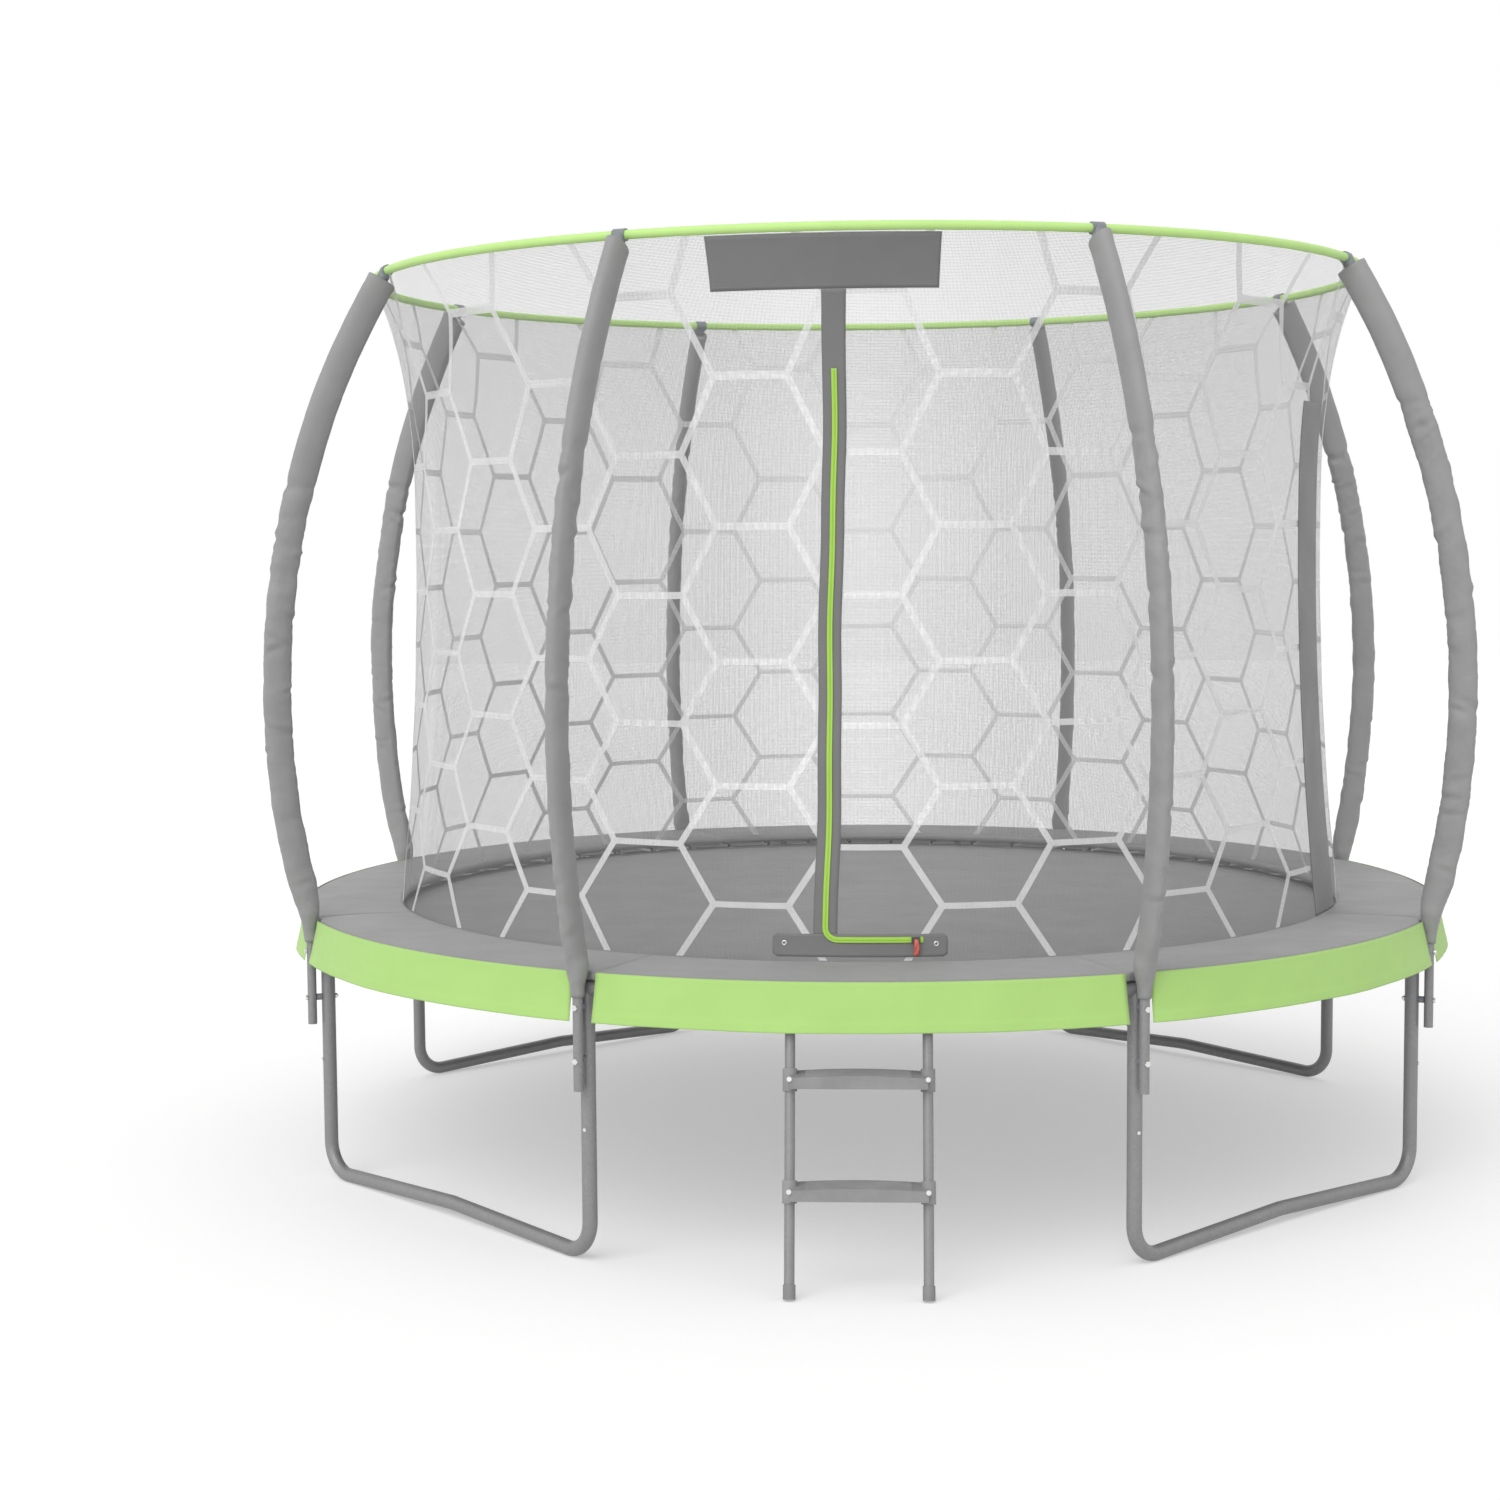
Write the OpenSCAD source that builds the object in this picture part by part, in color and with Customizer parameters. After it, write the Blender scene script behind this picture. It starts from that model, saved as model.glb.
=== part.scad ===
// Round garden trampoline with an inner safety net. Millimetres, +Z up.
// The door and the ladder face -Y. The origin is on the ground under the middle of the mat.
// Angles along the rings are counted from the front (-Y) towards +X.

/* [Frame ring] */
// Radius of the frame ring, at the middle of its tube
frame_ring_r = 1645; // [1450:5:1850]
// Height of the frame ring's tube centre above the ground
frame_z = 690; // [640:5:800]
// Outside diameter of the frame ring's tube
frame_tube_d = 42; // [38:1:48]
// Wall of the frame ring's tube
frame_wall = 1.5; // [1.2:0.1:2.5]
// Length of the reduced tube end that slides into the next rail
rail_plug_len = 60; // [40:5:90]
// Length of the leg sockets, below the tube's centre
socket_len = 92; // [88:1:110]

/* [Legs] */
// Half the angle between the two posts of one leg
leg_half_angle = 21; // [18:0.5:22]
// Outside diameter of the leg tubes
leg_tube_d = 38; // [34:1:40]
// Wall of the leg tubes
leg_wall = 1.5; // [1.2:0.1:2.5]
// Centre-line radius of the leg base's lower corners
leg_corner_r = 85; // [70:5:110]
// Slope of the ground rail, which rises towards its middle
ground_rail_slope = 2.1; // [1:0.1:4]
// Centre-line radius of the ground rail's middle bend
ground_bend_r = 300; // [200:10:500]
// Height of the joint between a leg base and its post
leg_joint_z = 300; // [260:5:330]
// Length of the leg base's plug inside the post
leg_plug_len = 75; // [60:5:90]

/* [Net poles] */
// Outside diameter of the net poles
pole_tube_d = 25; // [22:1:28]
// Wall of the net poles
pole_wall = 1.2; // [1:0.1:2]
// Gap between a leg post and its net pole
pole_standoff = 14.5; // [12:0.5:20]
// Height of the pole's lower end
pole_end_z = 440; // [400:5:480]
// Height at which the pole's straight foot ends and its curve starts
pole_straight_z = 715; // [700:5:740]
// Centre-line radius of the pole's lower bend
pole_bend_r = 300; // [200:10:400]
// How far the pole's belly stands out beyond its foot
pole_bow = 79; // [60:1:100]
// Height of the lower fixing bolt
bolt_low_z = 515; // [480:5:540]
// Height of the upper fixing bolt
bolt_high_z = 648; // [640:1:650]
// Outside diameter of the bolts
bolt_d = 8; // [6:1:10]
// Radius of the round foot of the padded sleeve
sleeve_r = 23; // [20:0.5:23.5]
// Radial depth of the padded sleeve
sleeve_depth = 76; // [60:1:90]
// Height of the sleeve's lower end
sleeve_bottom_z = 673; // [670:1:690]

/* [Net ring and net] */
// Radius of the top ring
ring_r = 1440; // [1350:5:1500]
// Height of the net, from the pad to the ring's centre
net_height = 1800; // [1600:10:2000]
// Radius of the ring's padded sleeve
ring_sleeve_r = 11; // [10:0.5:12]
// Radius of the fibre rods in the ring
ring_rod_r = 4; // [3:0.5:4.5]
// Thickness of the net
net_t = 1; // [0.8:0.1:2]
// Radius of the net at its waist
waist_r = 1334; // [1280:2:1360]
// Height of the waist above the pad, as a share of the net's height
waist_share = 0.59; // [0.45:0.01:0.65]
// Lower edge of the front banner, below the ring's centre
banner_drop = 145; // [100:5:200]
// Left end of the banner
banner_from = -15; // [-20:0.5:-10]
// Right end of the banner
banner_to = 8.2; // [5:0.5:15]
// Middle of the dark strip down the net's right side
side_strip_angle = 67.5; // [60:0.5:75]
// Width of the dark strip down the net's right side
side_strip_w = 210; // [120:5:240]
// Top of that strip above the pad
side_strip_rise = 1415; // [1200:5:1600]

/* [Door] */
// Angle of the door's upright zip
zip_angle = -3; // [-6:0.5:0]
// Width of the dark strip under the upright zip
door_strip_w = 58; // [40:2:80]
// Width of the zip tape
zip_w = 14; // [10:1:20]
// Top of the zip above the pad
zip_rise = 1465; // [1200:5:1500]
// Height of the zip's lower run above the pad
zip_run_rise = 55; // [48:1:70]
// Right end of the zip's lower run
zip_run_end = 6.5; // [5:0.5:8]
// Ends of the dark band along the door's foot
door_foot_angle = 9; // [8.5:0.5:12]
// Length of the zip's red pull
pull_len = 36; // [25:1:38]

/* [Mat, springs and pad] */
// Reach of a spring, from the frame ring to the bar of its mat ring
spring_reach = 150; // [140:5:160]
// Length of a spring's coil
coil_len = 108; // [90:2:112]
// Outside diameter of a spring's coil
coil_d = 18; // [14:1:22]
// Diameter of the spring wire
wire_d = 3.2; // [2.5:0.1:4]
// Springs on each rail
springs_per_rail = 8; // [6:1:9]
// Length of a mat ring, from its pocket to the spring
mat_ring_len = 52; // [44:1:60]
// Thickness of the mat
mat_t = 2.5; // [2:0.5:4]
// Thickness of the mat's hem
hem_t = 8; // [7:0.5:10]
// Width of the pad over the springs
pad_w = 285; // [240:5:300]
// How far the pad reaches beyond the frame ring's centre line
pad_overhang = 30; // [27:1:36]
// Thickness of the pad
pad_t = 24; // [18:1:40]
// Height of the skirt that hangs from the pad
skirt_h = 120; // [100:5:130]
// How far the skirt's lower edge stands out beyond its upper edge
skirt_flare = 25; // [22:1:35]
// Thickness of the skirt
skirt_t = 1.5; // [1:0.5:3]

/* [Ladder] */
// Distance between the ladder's rails, centre to centre
ladder_w = 328; // [280:2:400]
// Lean of the ladder, away from upright
ladder_lean = 14; // [12:0.5:15]
// Outside diameter of the ladder's rails
ladder_tube_d = 25; // [22:1:26]
// Height of the lower tread
tread_low_z = 245; // [200:5:260]
// Height of the upper tread
tread_high_z = 500; // [460:5:520]
// Depth of a tread, front to back
tread_d = 84; // [60:2:100]
// Thickness of a tread
tread_t = 26; // [20:1:32]
// Rise of a tread's crown in its middle
tread_crown = 6; // [3:0.5:9]

/* [Hidden] */
$fn = 48;
ring_fn = 240;                      // facets of a full turn along the big rings and long arcs

// Clearances
slide_gap = 0.3;      // tube plugs in tubes, and soft skins on what they cover
hole_gap = 0.3;       // bolts and rivets in their holes
pin_gap = 0.1;        // the zip pull on its bar
hook_gap = 0.5;       // ladder hooks on the frame ring
slot_gap = 1;         // cut-outs in the net and the mat
pad_gap = 2;          // cut-outs in the pad
cut = 1;              // how far a cutter runs past a face
weld_lap = 2;         // how far a straight tube runs into a bend it is one piece with
weld_lip = 0.05;      // how much thicker that bend is, inside and out

// Colours, as the photo shows them
steel = [0.57, 0.57, 0.57];
zinc = [0.82, 0.82, 0.82];
black = [0.22, 0.22, 0.23];
dark_cloth = [0.55, 0.55, 0.55];
green = [0.73, 0.90, 0.53];
net_grey = [0.70, 0.70, 0.70];
red = [0.88, 0.44, 0.38];

// Rings and stations
rail_count = 8;
rail_span = 360 / rail_count;
frame_r = frame_tube_d / 2;
leg_r = leg_tube_d / 2;
pole_r = pole_tube_d / 2;
neck_len = 4;                       // solid shoulder where a tube is reduced to its plug
function station_angle(k) = 45 + 90 * floor(k / 2) + (k % 2 == 0 ? -1 : 1) * leg_half_angle;
function arc_deg(len, r) = len / r * 180 / PI;

// Leg sockets and posts
socket_bore_r = leg_r + slide_gap;
socket_r = socket_bore_r + leg_wall;
post_top_gap = 4;                   // between a post's end and the ring tube
post_top_z = frame_z - frame_r - post_top_gap;
post_screw_z = leg_joint_z + leg_plug_len / 2;
post_screw_turn = leg_half_angle - 90;      // the screws face straight out, away from the mat
socket_screw_edge = 12;             // from a socket's end to its screw
socket_screw_z = frame_z - socket_len + socket_screw_edge;
screw_r = 2;
screw_head_r = 4.5;
screw_head_h = 2.5;
screw_len = 9;

// Net poles: a straight foot, a short bend outwards, and one long arc that ends at the top ring
pole_foot_r = frame_ring_r + leg_r + pole_standoff + pole_r;
pad_top_z = frame_z + frame_r + slide_gap + pad_t;
ring_z = pad_top_z + net_height;
pole_rise = ring_z - pole_straight_z;
pole_drop = pole_foot_r + pole_bow - ring_r;
function rise_at(r) = sqrt(2 * pole_bow * (r + pole_bend_r) - pow(pole_bow, 2))
    + sqrt(2 * pole_drop * r - pow(pole_drop, 2));
function arc_radius(low, high, steps) = steps == 0 ? (low + high) / 2
    : rise_at((low + high) / 2) > pole_rise ? arc_radius(low, (low + high) / 2, steps - 1)
    : arc_radius((low + high) / 2, high, steps - 1);
pole_arc_r = arc_radius(pole_drop, 20 * net_height, 40);
foot_lean = acos(1 - pole_bow / (pole_arc_r + pole_bend_r));
top_lean = acos(1 - pole_drop / pole_arc_r);
pole_arc_z = pole_straight_z + (pole_arc_r + pole_bend_r) * sin(foot_lean);
pole_arc_x = pole_foot_r + pole_bow - pole_arc_r;
pole_joint_angle = 0;               // where the lower and the upper half of a pole meet
pole_plug_len = 70;

// Pole caps, which clip the top ring to the poles
sleeve_top_gap = 1;                 // from a cap to the sleeve's top
sleeve_step = 0.5;                  // each length of the sleeve is thinner than the one above it
cap_r = 17;
cap_len = 75;
cap_web = 30;                       // from the ring's centre to the pole's end
cap_bore_r = ring_sleeve_r + slide_gap;
cap_head_r = cap_bore_r + 4.7;
cap_sag = pow(cap_len, 2) / (2 * pole_arc_r);   // how far the pole curves away inside the cap
cap_head_w = 34;

// Fixing bolts
bolt_r = bolt_d / 2;
bolt_head_r = bolt_r + 3;
bolt_head_h = 5;
spacer_r = bolt_r + 5;

// Ring rods
ferrule_r = ring_rod_r + 2;
ferrule_len = 80;
ring_bore_r = ferrule_r + 0.6;

// Net
net_bottom_z = pad_top_z + slide_gap;
net_top_z = ring_z - ring_sleeve_r - slide_gap;
waist_z = net_bottom_z + waist_share * (net_top_z - net_bottom_z);
net_rows = 16;                      // straight steps that make the net's curved outline
trim_gap = 4;                       // from the net's top edge to the banner's
trim_top_z = net_top_z - trim_gap;

// Mat, springs, pad
mat_ring_t = 3.5;
mat_ring_bar = 4;
mat_ring_half_w = 20;
pocket_depth = 10;
ring_tip_r = frame_ring_r - frame_r - spring_reach + mat_ring_bar;
mat_r = ring_tip_r - mat_ring_len + pocket_depth;
hem_w = 45;
coil_neck = 12;                     // from the frame tube to the spring's coil
coil_end_r = frame_ring_r - frame_r - coil_neck;
hook_drop = 10;                     // how far a spring's end turns down inside the frame tube
hook_r = sqrt(pow(mat_ring_bar, 2) + pow(mat_ring_t, 2)) / 2 + wire_d / 2 + slide_gap;
spring_hole_r = wire_d / 2 + 1.4;
pad_outer_r = frame_ring_r + pad_overhang;
pad_inner_r = pad_outer_r - pad_w;
net_inset = 4;                      // from the pad's inner edge to the net's foot
net_bottom_r = pad_inner_r + net_inset;
strap_t = 1.5;
strap_w = 22;
straps_per_rail = 2;
skirt_slit = arc_deg(sleeve_r + 7, pad_outer_r);

// Door
skin_t = 1.5;                       // strips and tapes sewn on the net
door_foot_lift = 12;                // from the net's foot to the dark band's
slider_w = 22;
slider_h = 14;
slider_t = 3;
bar_r = 1.5;
bar_stand = 5;                      // from the slider's plate to the pull's bar
knuckle_r = 3.2;
knuckle_w = 7;
ear_t = 3;
pull_w = 14;
pull_t = 2;
zip_run_z = pad_top_z + zip_run_rise;
slider_angle = zip_run_end - 0.8;

// Ladder
ladder_r = ladder_tube_d / 2;
ladder_wall = 1.5;
hook_t = 4;
hook_w = 26;
hook_turn = asin(ladder_w / 2 / frame_ring_r);
hook_bore_r = frame_r + hook_w / 2 * tan(hook_turn) + hook_gap;    // the ring runs askew through it
hook_shank = 60;
hook_mouth = 80;                    // opening of the hook, in degrees, low on its inner side
hook_y = -sqrt(pow(frame_ring_r, 2) - pow(ladder_w / 2, 2));
rail_gap = 6;                       // between a hook's strip and its rail
rail_start = hook_bore_r + hook_t + rail_gap;
foot_r = ladder_r + 2.5;
foot_len = 34;
foot_end = 4;
rail_end = (frame_z - foot_r * sin(ladder_lean)) / cos(ladder_lean) - foot_end;
collar_r = ladder_r + 5;
collar_len = 54;
rivet_r = 3;
rivet_head_r = 6;
rivet_head_h = 2.5;

// ---- helpers ----

module annulus(r, wall) {
    difference() {
        circle(r);
        circle(r - wall);
    }
}

module tube(h, r, wall) linear_extrude(h) annulus(r, wall);

// Bends a flat section in the XZ plane about [x, z], between two angles counted from +X.
module bend(x, z, bend_r, from, to) {
    translate([x, 0, z]) rotate([90, 0, 0])
        rotate_extrude(angle = to - from, start = from, $fn = ring_fn) translate([bend_r, 0]) children();
}

module bent_tube(x, z, bend_r, from, to, r, wall)
    bend(x, z, bend_r, from, to) annulus(r, wall, $fn = 48);

// A solid ring segment at height z, between two angles counted from the front.
module ring_segment(ring, z, from, to, r) {
    translate([0, 0, z]) rotate_extrude(angle = to - from, start = from - 90, $fn = ring_fn)
        translate([ring, 0]) circle(r, $fn = 48);
}

// Puts a child that is drawn towards +X in line with an angle counted from the front.
module at_angle(a) rotate([0, 0, a - 90]) children();

module at_station(k) at_angle(station_angle(k)) children();

module radial_rod(x, z, len, r) translate([x, 0, z]) rotate([0, 90, 0]) cylinder(h = len, r = r);

// ---- frame ring ----

module frame_rail(k) {
    from = k * rail_span;
    to = from + rail_span;
    plug = arc_deg(rail_plug_len, frame_ring_r);
    neck = arc_deg(neck_len, frame_ring_r);
    plug_r = frame_r - frame_wall - slide_gap;
    past = arc_deg(cut, frame_ring_r);
    color(steel) difference() {
        union() {
            ring_segment(frame_ring_r, frame_z, from, to, frame_r);
            ring_segment(frame_ring_r, frame_z, to - neck / 2, to + plug, plug_r);
            at_station(k) translate([frame_ring_r, 0, frame_z - socket_len])
                cylinder(h = socket_len, r = socket_r);
        }
        ring_segment(frame_ring_r, frame_z, from - past, to - neck, frame_r - frame_wall);
        ring_segment(frame_ring_r, frame_z, to - 2 * neck, to + plug + past, plug_r - frame_wall);
        at_station(k) {
            translate([frame_ring_r, 0, frame_z - socket_len - cut])
                cylinder(h = post_top_z - frame_z + socket_len + 2 * cut, r = socket_bore_r);
            radial_rod(frame_ring_r - 2 * leg_r, bolt_high_z, 4 * leg_r, bolt_r + hole_gap);
            translate([frame_ring_r, 0, socket_screw_z]) rotate([90, 0, 0])
                cylinder(h = 2 * leg_r, r = screw_r + hole_gap);
        }
        for (i = [0 : springs_per_rail - 1])
            at_angle(from + (i + 0.5) * rail_span / springs_per_rail)
                radial_rod(frame_ring_r - frame_r - cut, frame_z, frame_wall + 3, spring_hole_r);
        for (a = [from, to])
            at_angle(a + plug / 2) translate([frame_ring_r, 0, frame_z - frame_r - cut])
                cylinder(h = screw_len, r = screw_r + hole_gap);
    }
}

// ---- legs ----

module at_leg(i) {
    at_angle(45 + 90 * i) translate([frame_ring_r * cos(leg_half_angle), 0, 0])
        rotate([0, 0, 90]) children();
}

module leg_base(i) {
    half = frame_ring_r * sin(leg_half_angle);
    bend_out_r = leg_r + weld_lip;
    bend_wall = leg_wall + 2 * weld_lip;
    corner_x = half - leg_corner_r;
    corner_z = bend_out_r + leg_corner_r;
    s = ground_rail_slope;
    start_x = corner_x - leg_corner_r * sin(s);
    start_z = corner_z - leg_corner_r * cos(s);
    end_x = ground_bend_r * sin(s);
    run = (start_x - end_x) / cos(s);
    end_z = start_z + run * sin(s);
    color(steel) at_leg(i) {
        for (side = [0, 1]) mirror([side, 0, 0]) {
            translate([half, 0, 0]) difference() {
                union() {
                    translate([0, 0, corner_z - weld_lap])
                        cylinder(h = leg_joint_z - corner_z + weld_lap, r = leg_r);
                    translate([0, 0, leg_joint_z - neck_len])
                        cylinder(h = leg_plug_len + neck_len, r = leg_r - leg_wall - slide_gap);
                }
                translate([0, 0, corner_z - 2 * weld_lap])
                    cylinder(h = leg_joint_z - neck_len - corner_z + 2 * weld_lap, r = leg_r - leg_wall);
                cylinder(h = leg_joint_z + leg_plug_len + cut, r = leg_r - 2 * leg_wall - slide_gap);
                rotate([0, 0, post_screw_turn])
                    radial_rod(0, post_screw_z, 2 * leg_r, screw_r + hole_gap);
            }
            bent_tube(corner_x, corner_z, leg_corner_r, 270 - s, 360, bend_out_r, bend_wall);
            translate([start_x, 0, start_z]) rotate([0, s - 90, 0]) translate([0, 0, -weld_lap])
                tube(run + 2 * weld_lap, leg_r, leg_wall);
        }
        bent_tube(0, end_z - ground_bend_r * cos(s), ground_bend_r, 90 - s, 90 + s,
            bend_out_r, bend_wall);
    }
}

module leg_post(k) {
    color(steel) at_station(k) translate([frame_ring_r, 0, 0]) difference() {
        translate([0, 0, leg_joint_z]) tube(post_top_z - leg_joint_z, leg_r, leg_wall);
        for (z = [bolt_low_z, bolt_high_z]) radial_rod(-2 * leg_r, z, 4 * leg_r, bolt_r + hole_gap);
        radial_rod(0, post_screw_z, 2 * leg_r, screw_r + hole_gap);
        translate([0, 0, socket_screw_z]) rotate([90, 0, 0])
            cylinder(h = 2 * leg_r, r = screw_r + hole_gap);
    }
}

module screw() {
    cylinder(h = screw_head_h, r = screw_head_r);
    translate([0, 0, -screw_len + screw_head_h]) cylinder(h = screw_len, r = screw_r);
}

module tube_screws() {
    plug = arc_deg(rail_plug_len, frame_ring_r);
    color(zinc) for (k = [0 : rail_count - 1]) {
        at_station(k) {
            translate([frame_ring_r + leg_r + slide_gap, 0, post_screw_z]) rotate([0, 90, 0]) screw();
            translate([frame_ring_r, -socket_r - slide_gap, socket_screw_z]) rotate([90, 0, 0]) screw();
        }
        at_angle(k * rail_span + plug / 2)
            translate([frame_ring_r, 0, frame_z - frame_r - slide_gap]) rotate([180, 0, 0]) screw();
    }
}

// ---- net poles ----

module pole_arc(from, to, r) bend(pole_arc_x, pole_arc_z, pole_arc_r, from, to) circle(r, $fn = 48);

module net_pole(k) {
    plug = arc_deg(pole_plug_len, pole_arc_r);
    neck = arc_deg(neck_len, pole_arc_r);
    past = arc_deg(weld_lap, pole_arc_r);
    low = -foot_lean - past;
    top = top_lean - arc_deg(cap_web, pole_arc_r);
    plug_r = pole_r - pole_wall - slide_gap;
    color(steel) at_station(k) {
        difference() {
            translate([pole_foot_r, 0, pole_end_z])
                tube(pole_straight_z + weld_lap - pole_end_z, pole_r, pole_wall);
            for (z = [bolt_low_z, bolt_high_z])
                radial_rod(pole_foot_r - 2 * pole_r, z, 4 * pole_r, bolt_r + hole_gap);
        }
        bent_tube(pole_foot_r + pole_bend_r, pole_straight_z, pole_bend_r, 180 - foot_lean, 180,
            pole_r + weld_lip, pole_wall + 2 * weld_lip);
        difference() {
            union() {
                difference() {
                    pole_arc(low, top, pole_r);
                    pole_arc(low - past, pole_joint_angle, pole_r - pole_wall);
                    pole_arc(pole_joint_angle + neck, top + past, pole_r - pole_wall);
                }
                pole_arc(pole_joint_angle - plug, pole_joint_angle + neck / 2, plug_r);
            }
            pole_arc(pole_joint_angle - plug - past, pole_joint_angle + 2 * neck, plug_r - pole_wall);
        }
    }
}

// The cloth sleeve with its foam: round at the foot, deeper along the long arc.
module pole_sleeve(k) {
    bore_r = pole_r + slide_gap;
    wall = sleeve_r - bore_r;
    flat = sleeve_depth / 2 - sleeve_r;
    lap = arc_deg(weld_lap, pole_bend_r);
    top = top_lean - arc_deg(cap_len + sleeve_top_gap, pole_arc_r);
    color(dark_cloth) at_station(k) {
        translate([pole_foot_r, 0, sleeve_bottom_z])
            tube(pole_straight_z + weld_lap - sleeve_bottom_z, sleeve_r - 2 * sleeve_step,
                wall - 4 * sleeve_step);
        bent_tube(pole_foot_r + pole_bend_r, pole_straight_z, pole_bend_r, 180 - foot_lean - lap, 180,
            sleeve_r - sleeve_step, wall - 2 * sleeve_step);
        bend(pole_arc_x, pole_arc_z, pole_arc_r, -foot_lean, top) difference() {
            union() {
                square([2 * flat, 2 * sleeve_r], center = true);
                for (x = [-flat, flat]) translate([x, 0]) circle(sleeve_r, $fn = 48);
            }
            circle(bore_r, $fn = 48);
        }
    }
}

module pole_bolts() {
    color(zinc) for (k = [0 : rail_count - 1]) at_station(k) for (z = [bolt_low_z, bolt_high_z]) {
        inner = frame_ring_r - (z == bolt_high_z ? socket_r : leg_r);
        outer = pole_foot_r + pole_r;
        radial_rod(inner - bolt_head_h - 3, z, outer + bolt_head_h - inner + 3, bolt_r);
        radial_rod(outer, z, bolt_head_h, bolt_head_r);
        translate([inner - bolt_head_h, 0, z]) rotate([0, 90, 0])
            cylinder(h = bolt_head_h, r = bolt_head_r, $fn = 6);
    }
}

module pole_spacers() {
    color(black) for (k = [0 : rail_count - 1]) at_station(k) for (z = [bolt_low_z, bolt_high_z]) {
        inner = frame_ring_r + (z == bolt_high_z ? socket_r : leg_r);
        translate([inner, 0, z]) rotate([0, 90, 0])
            tube(pole_foot_r - pole_r - inner, spacer_r, spacer_r - bolt_r - hole_gap);
    }
}

module pole_caps() {
    color(black) for (k = [0 : rail_count - 1]) at_station(k)
        translate([ring_r, 0, ring_z]) rotate([0, -top_lean, 0]) difference() {
            union() {
                translate([0, 0, -cap_len]) cylinder(h = cap_len, r = cap_r);
                rotate([90, 0, 0]) cylinder(h = cap_head_w, r = cap_head_r, center = true);
            }
            rotate([90, 0, 0]) cylinder(h = 3 * cap_r, r = cap_bore_r, center = true);
            translate([0, 0, -cap_len - cut])
                cylinder(h = cap_len + cut - cap_web, r = pole_r + cap_sag + slide_gap);
        }
}

// ---- top ring ----

// Fibre rods that meet end to end inside metal ferrules.
module ring_rods() {
    ferrule = arc_deg(ferrule_len, ring_r);
    end = arc_deg(1, ring_r);
    color(zinc) for (k = [0 : rail_count - 1]) {
        ring_segment(ring_r, ring_z, k * rail_span + end, (k + 1) * rail_span - end, ring_rod_r);
        difference() {
            ring_segment(ring_r, ring_z, k * rail_span - ferrule / 2, k * rail_span + ferrule / 2,
                ferrule_r);
            ring_segment(ring_r, ring_z, k * rail_span - ferrule, k * rail_span + ferrule,
                ring_rod_r + slide_gap);
        }
    }
}

module ring_sleeve() {
    color(green) translate([0, 0, ring_z]) rotate_extrude($fn = ring_fn) translate([ring_r, 0])
        annulus(ring_sleeve_r, ring_sleeve_r - ring_bore_r, $fn = 48);
}

// ---- net and what is sewn on it ----

function net_r(z) = z < waist_z
    ? waist_r + (net_bottom_r - waist_r) * pow((waist_z - z) / (waist_z - net_bottom_z), 2)
    : waist_r + (ring_r - waist_r) * pow((z - waist_z) / (net_top_z - waist_z), 3);

// The heights at which the net's outline bends, and any strip on it, between two heights.
function net_levels(low, high) = concat([low],
    [for (i = [0 : net_rows]) let (z = net_bottom_z + i * (net_top_z - net_bottom_z) / net_rows)
        if (z > low + 1 && z < high - 1) z],
    [high]);
function net_row(z) = floor((z - net_bottom_z) / (net_top_z - net_bottom_z) * net_rows);
function net_level(i) = net_bottom_z + i * (net_top_z - net_bottom_z) / net_rows;
// Radius of the straight-stepped outline
function outline_r(z) = let (
        i = min(max(net_row(z), 0), net_rows - 1),
        a = net_level(i),
        b = net_level(i + 1))
    net_r(a) + (net_r(b) - net_r(a)) * (z - a) / (b - a);

// A skin that follows the net, off it by a distance, between two heights and two angles.
module net_skin(low, high, from, to, off, t) {
    levels = net_levels(low, high);
    last = len(levels) - 1;
    rotate_extrude(angle = to - from, start = from - 90, $fn = ring_fn) polygon(concat(
        [for (z = levels) [outline_r(z) + off, z]],
        [for (i = [0 : last]) [outline_r(levels[last - i]) + off + t, levels[last - i]]]));
}

module net() {
    color(net_grey) difference() {
        net_skin(net_bottom_z, net_top_z, 0, 360, 0, net_t);
        for (k = [0 : rail_count - 1]) at_station(k)
            translate([ring_r - 2 * cap_r, -cap_head_w / 2 - slot_gap, ring_z - 4 * cap_r])
                cube([4 * cap_r, cap_head_w + 2 * slot_gap, 4 * cap_r]);
    }
}

module net_side_strip() {
    half = arc_deg(side_strip_w / 2, waist_r);
    color(dark_cloth) net_skin(net_bottom_z, pad_top_z + side_strip_rise,
        side_strip_angle - half, side_strip_angle + half, net_t + slide_gap, skin_t);
}

module banner() {
    color(dark_cloth) net_skin(ring_z - banner_drop, trim_top_z, banner_from, banner_to,
        net_t + slide_gap, skin_t);
}

module door_strip() {
    half = arc_deg(door_strip_w / 2, waist_r);
    color(dark_cloth) {
        net_skin(zip_run_z + zip_w, ring_z - banner_drop - 1, zip_angle - half, zip_angle + half,
            net_t + slide_gap, skin_t);
        net_skin(net_bottom_z + door_foot_lift, zip_run_z + zip_w, -door_foot_angle, door_foot_angle,
            net_t + slide_gap, skin_t);
    }
}

module zip_tape() {
    half = arc_deg(zip_w / 2, waist_r);
    off = net_t + 2 * slide_gap + skin_t;
    color(green) {
        net_skin(zip_run_z + zip_w / 2, pad_top_z + zip_rise, zip_angle - half, zip_angle + half,
            off, skin_t);
        net_skin(zip_run_z - zip_w / 2, zip_run_z + zip_w / 2, zip_angle - half, zip_run_end,
            off, skin_t);
    }
}

slider_x = outline_r(zip_run_z - slider_h / 2) + net_t + 3 * slide_gap + 2 * skin_t;
bar_x = slider_x + slider_t + bar_stand;

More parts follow.
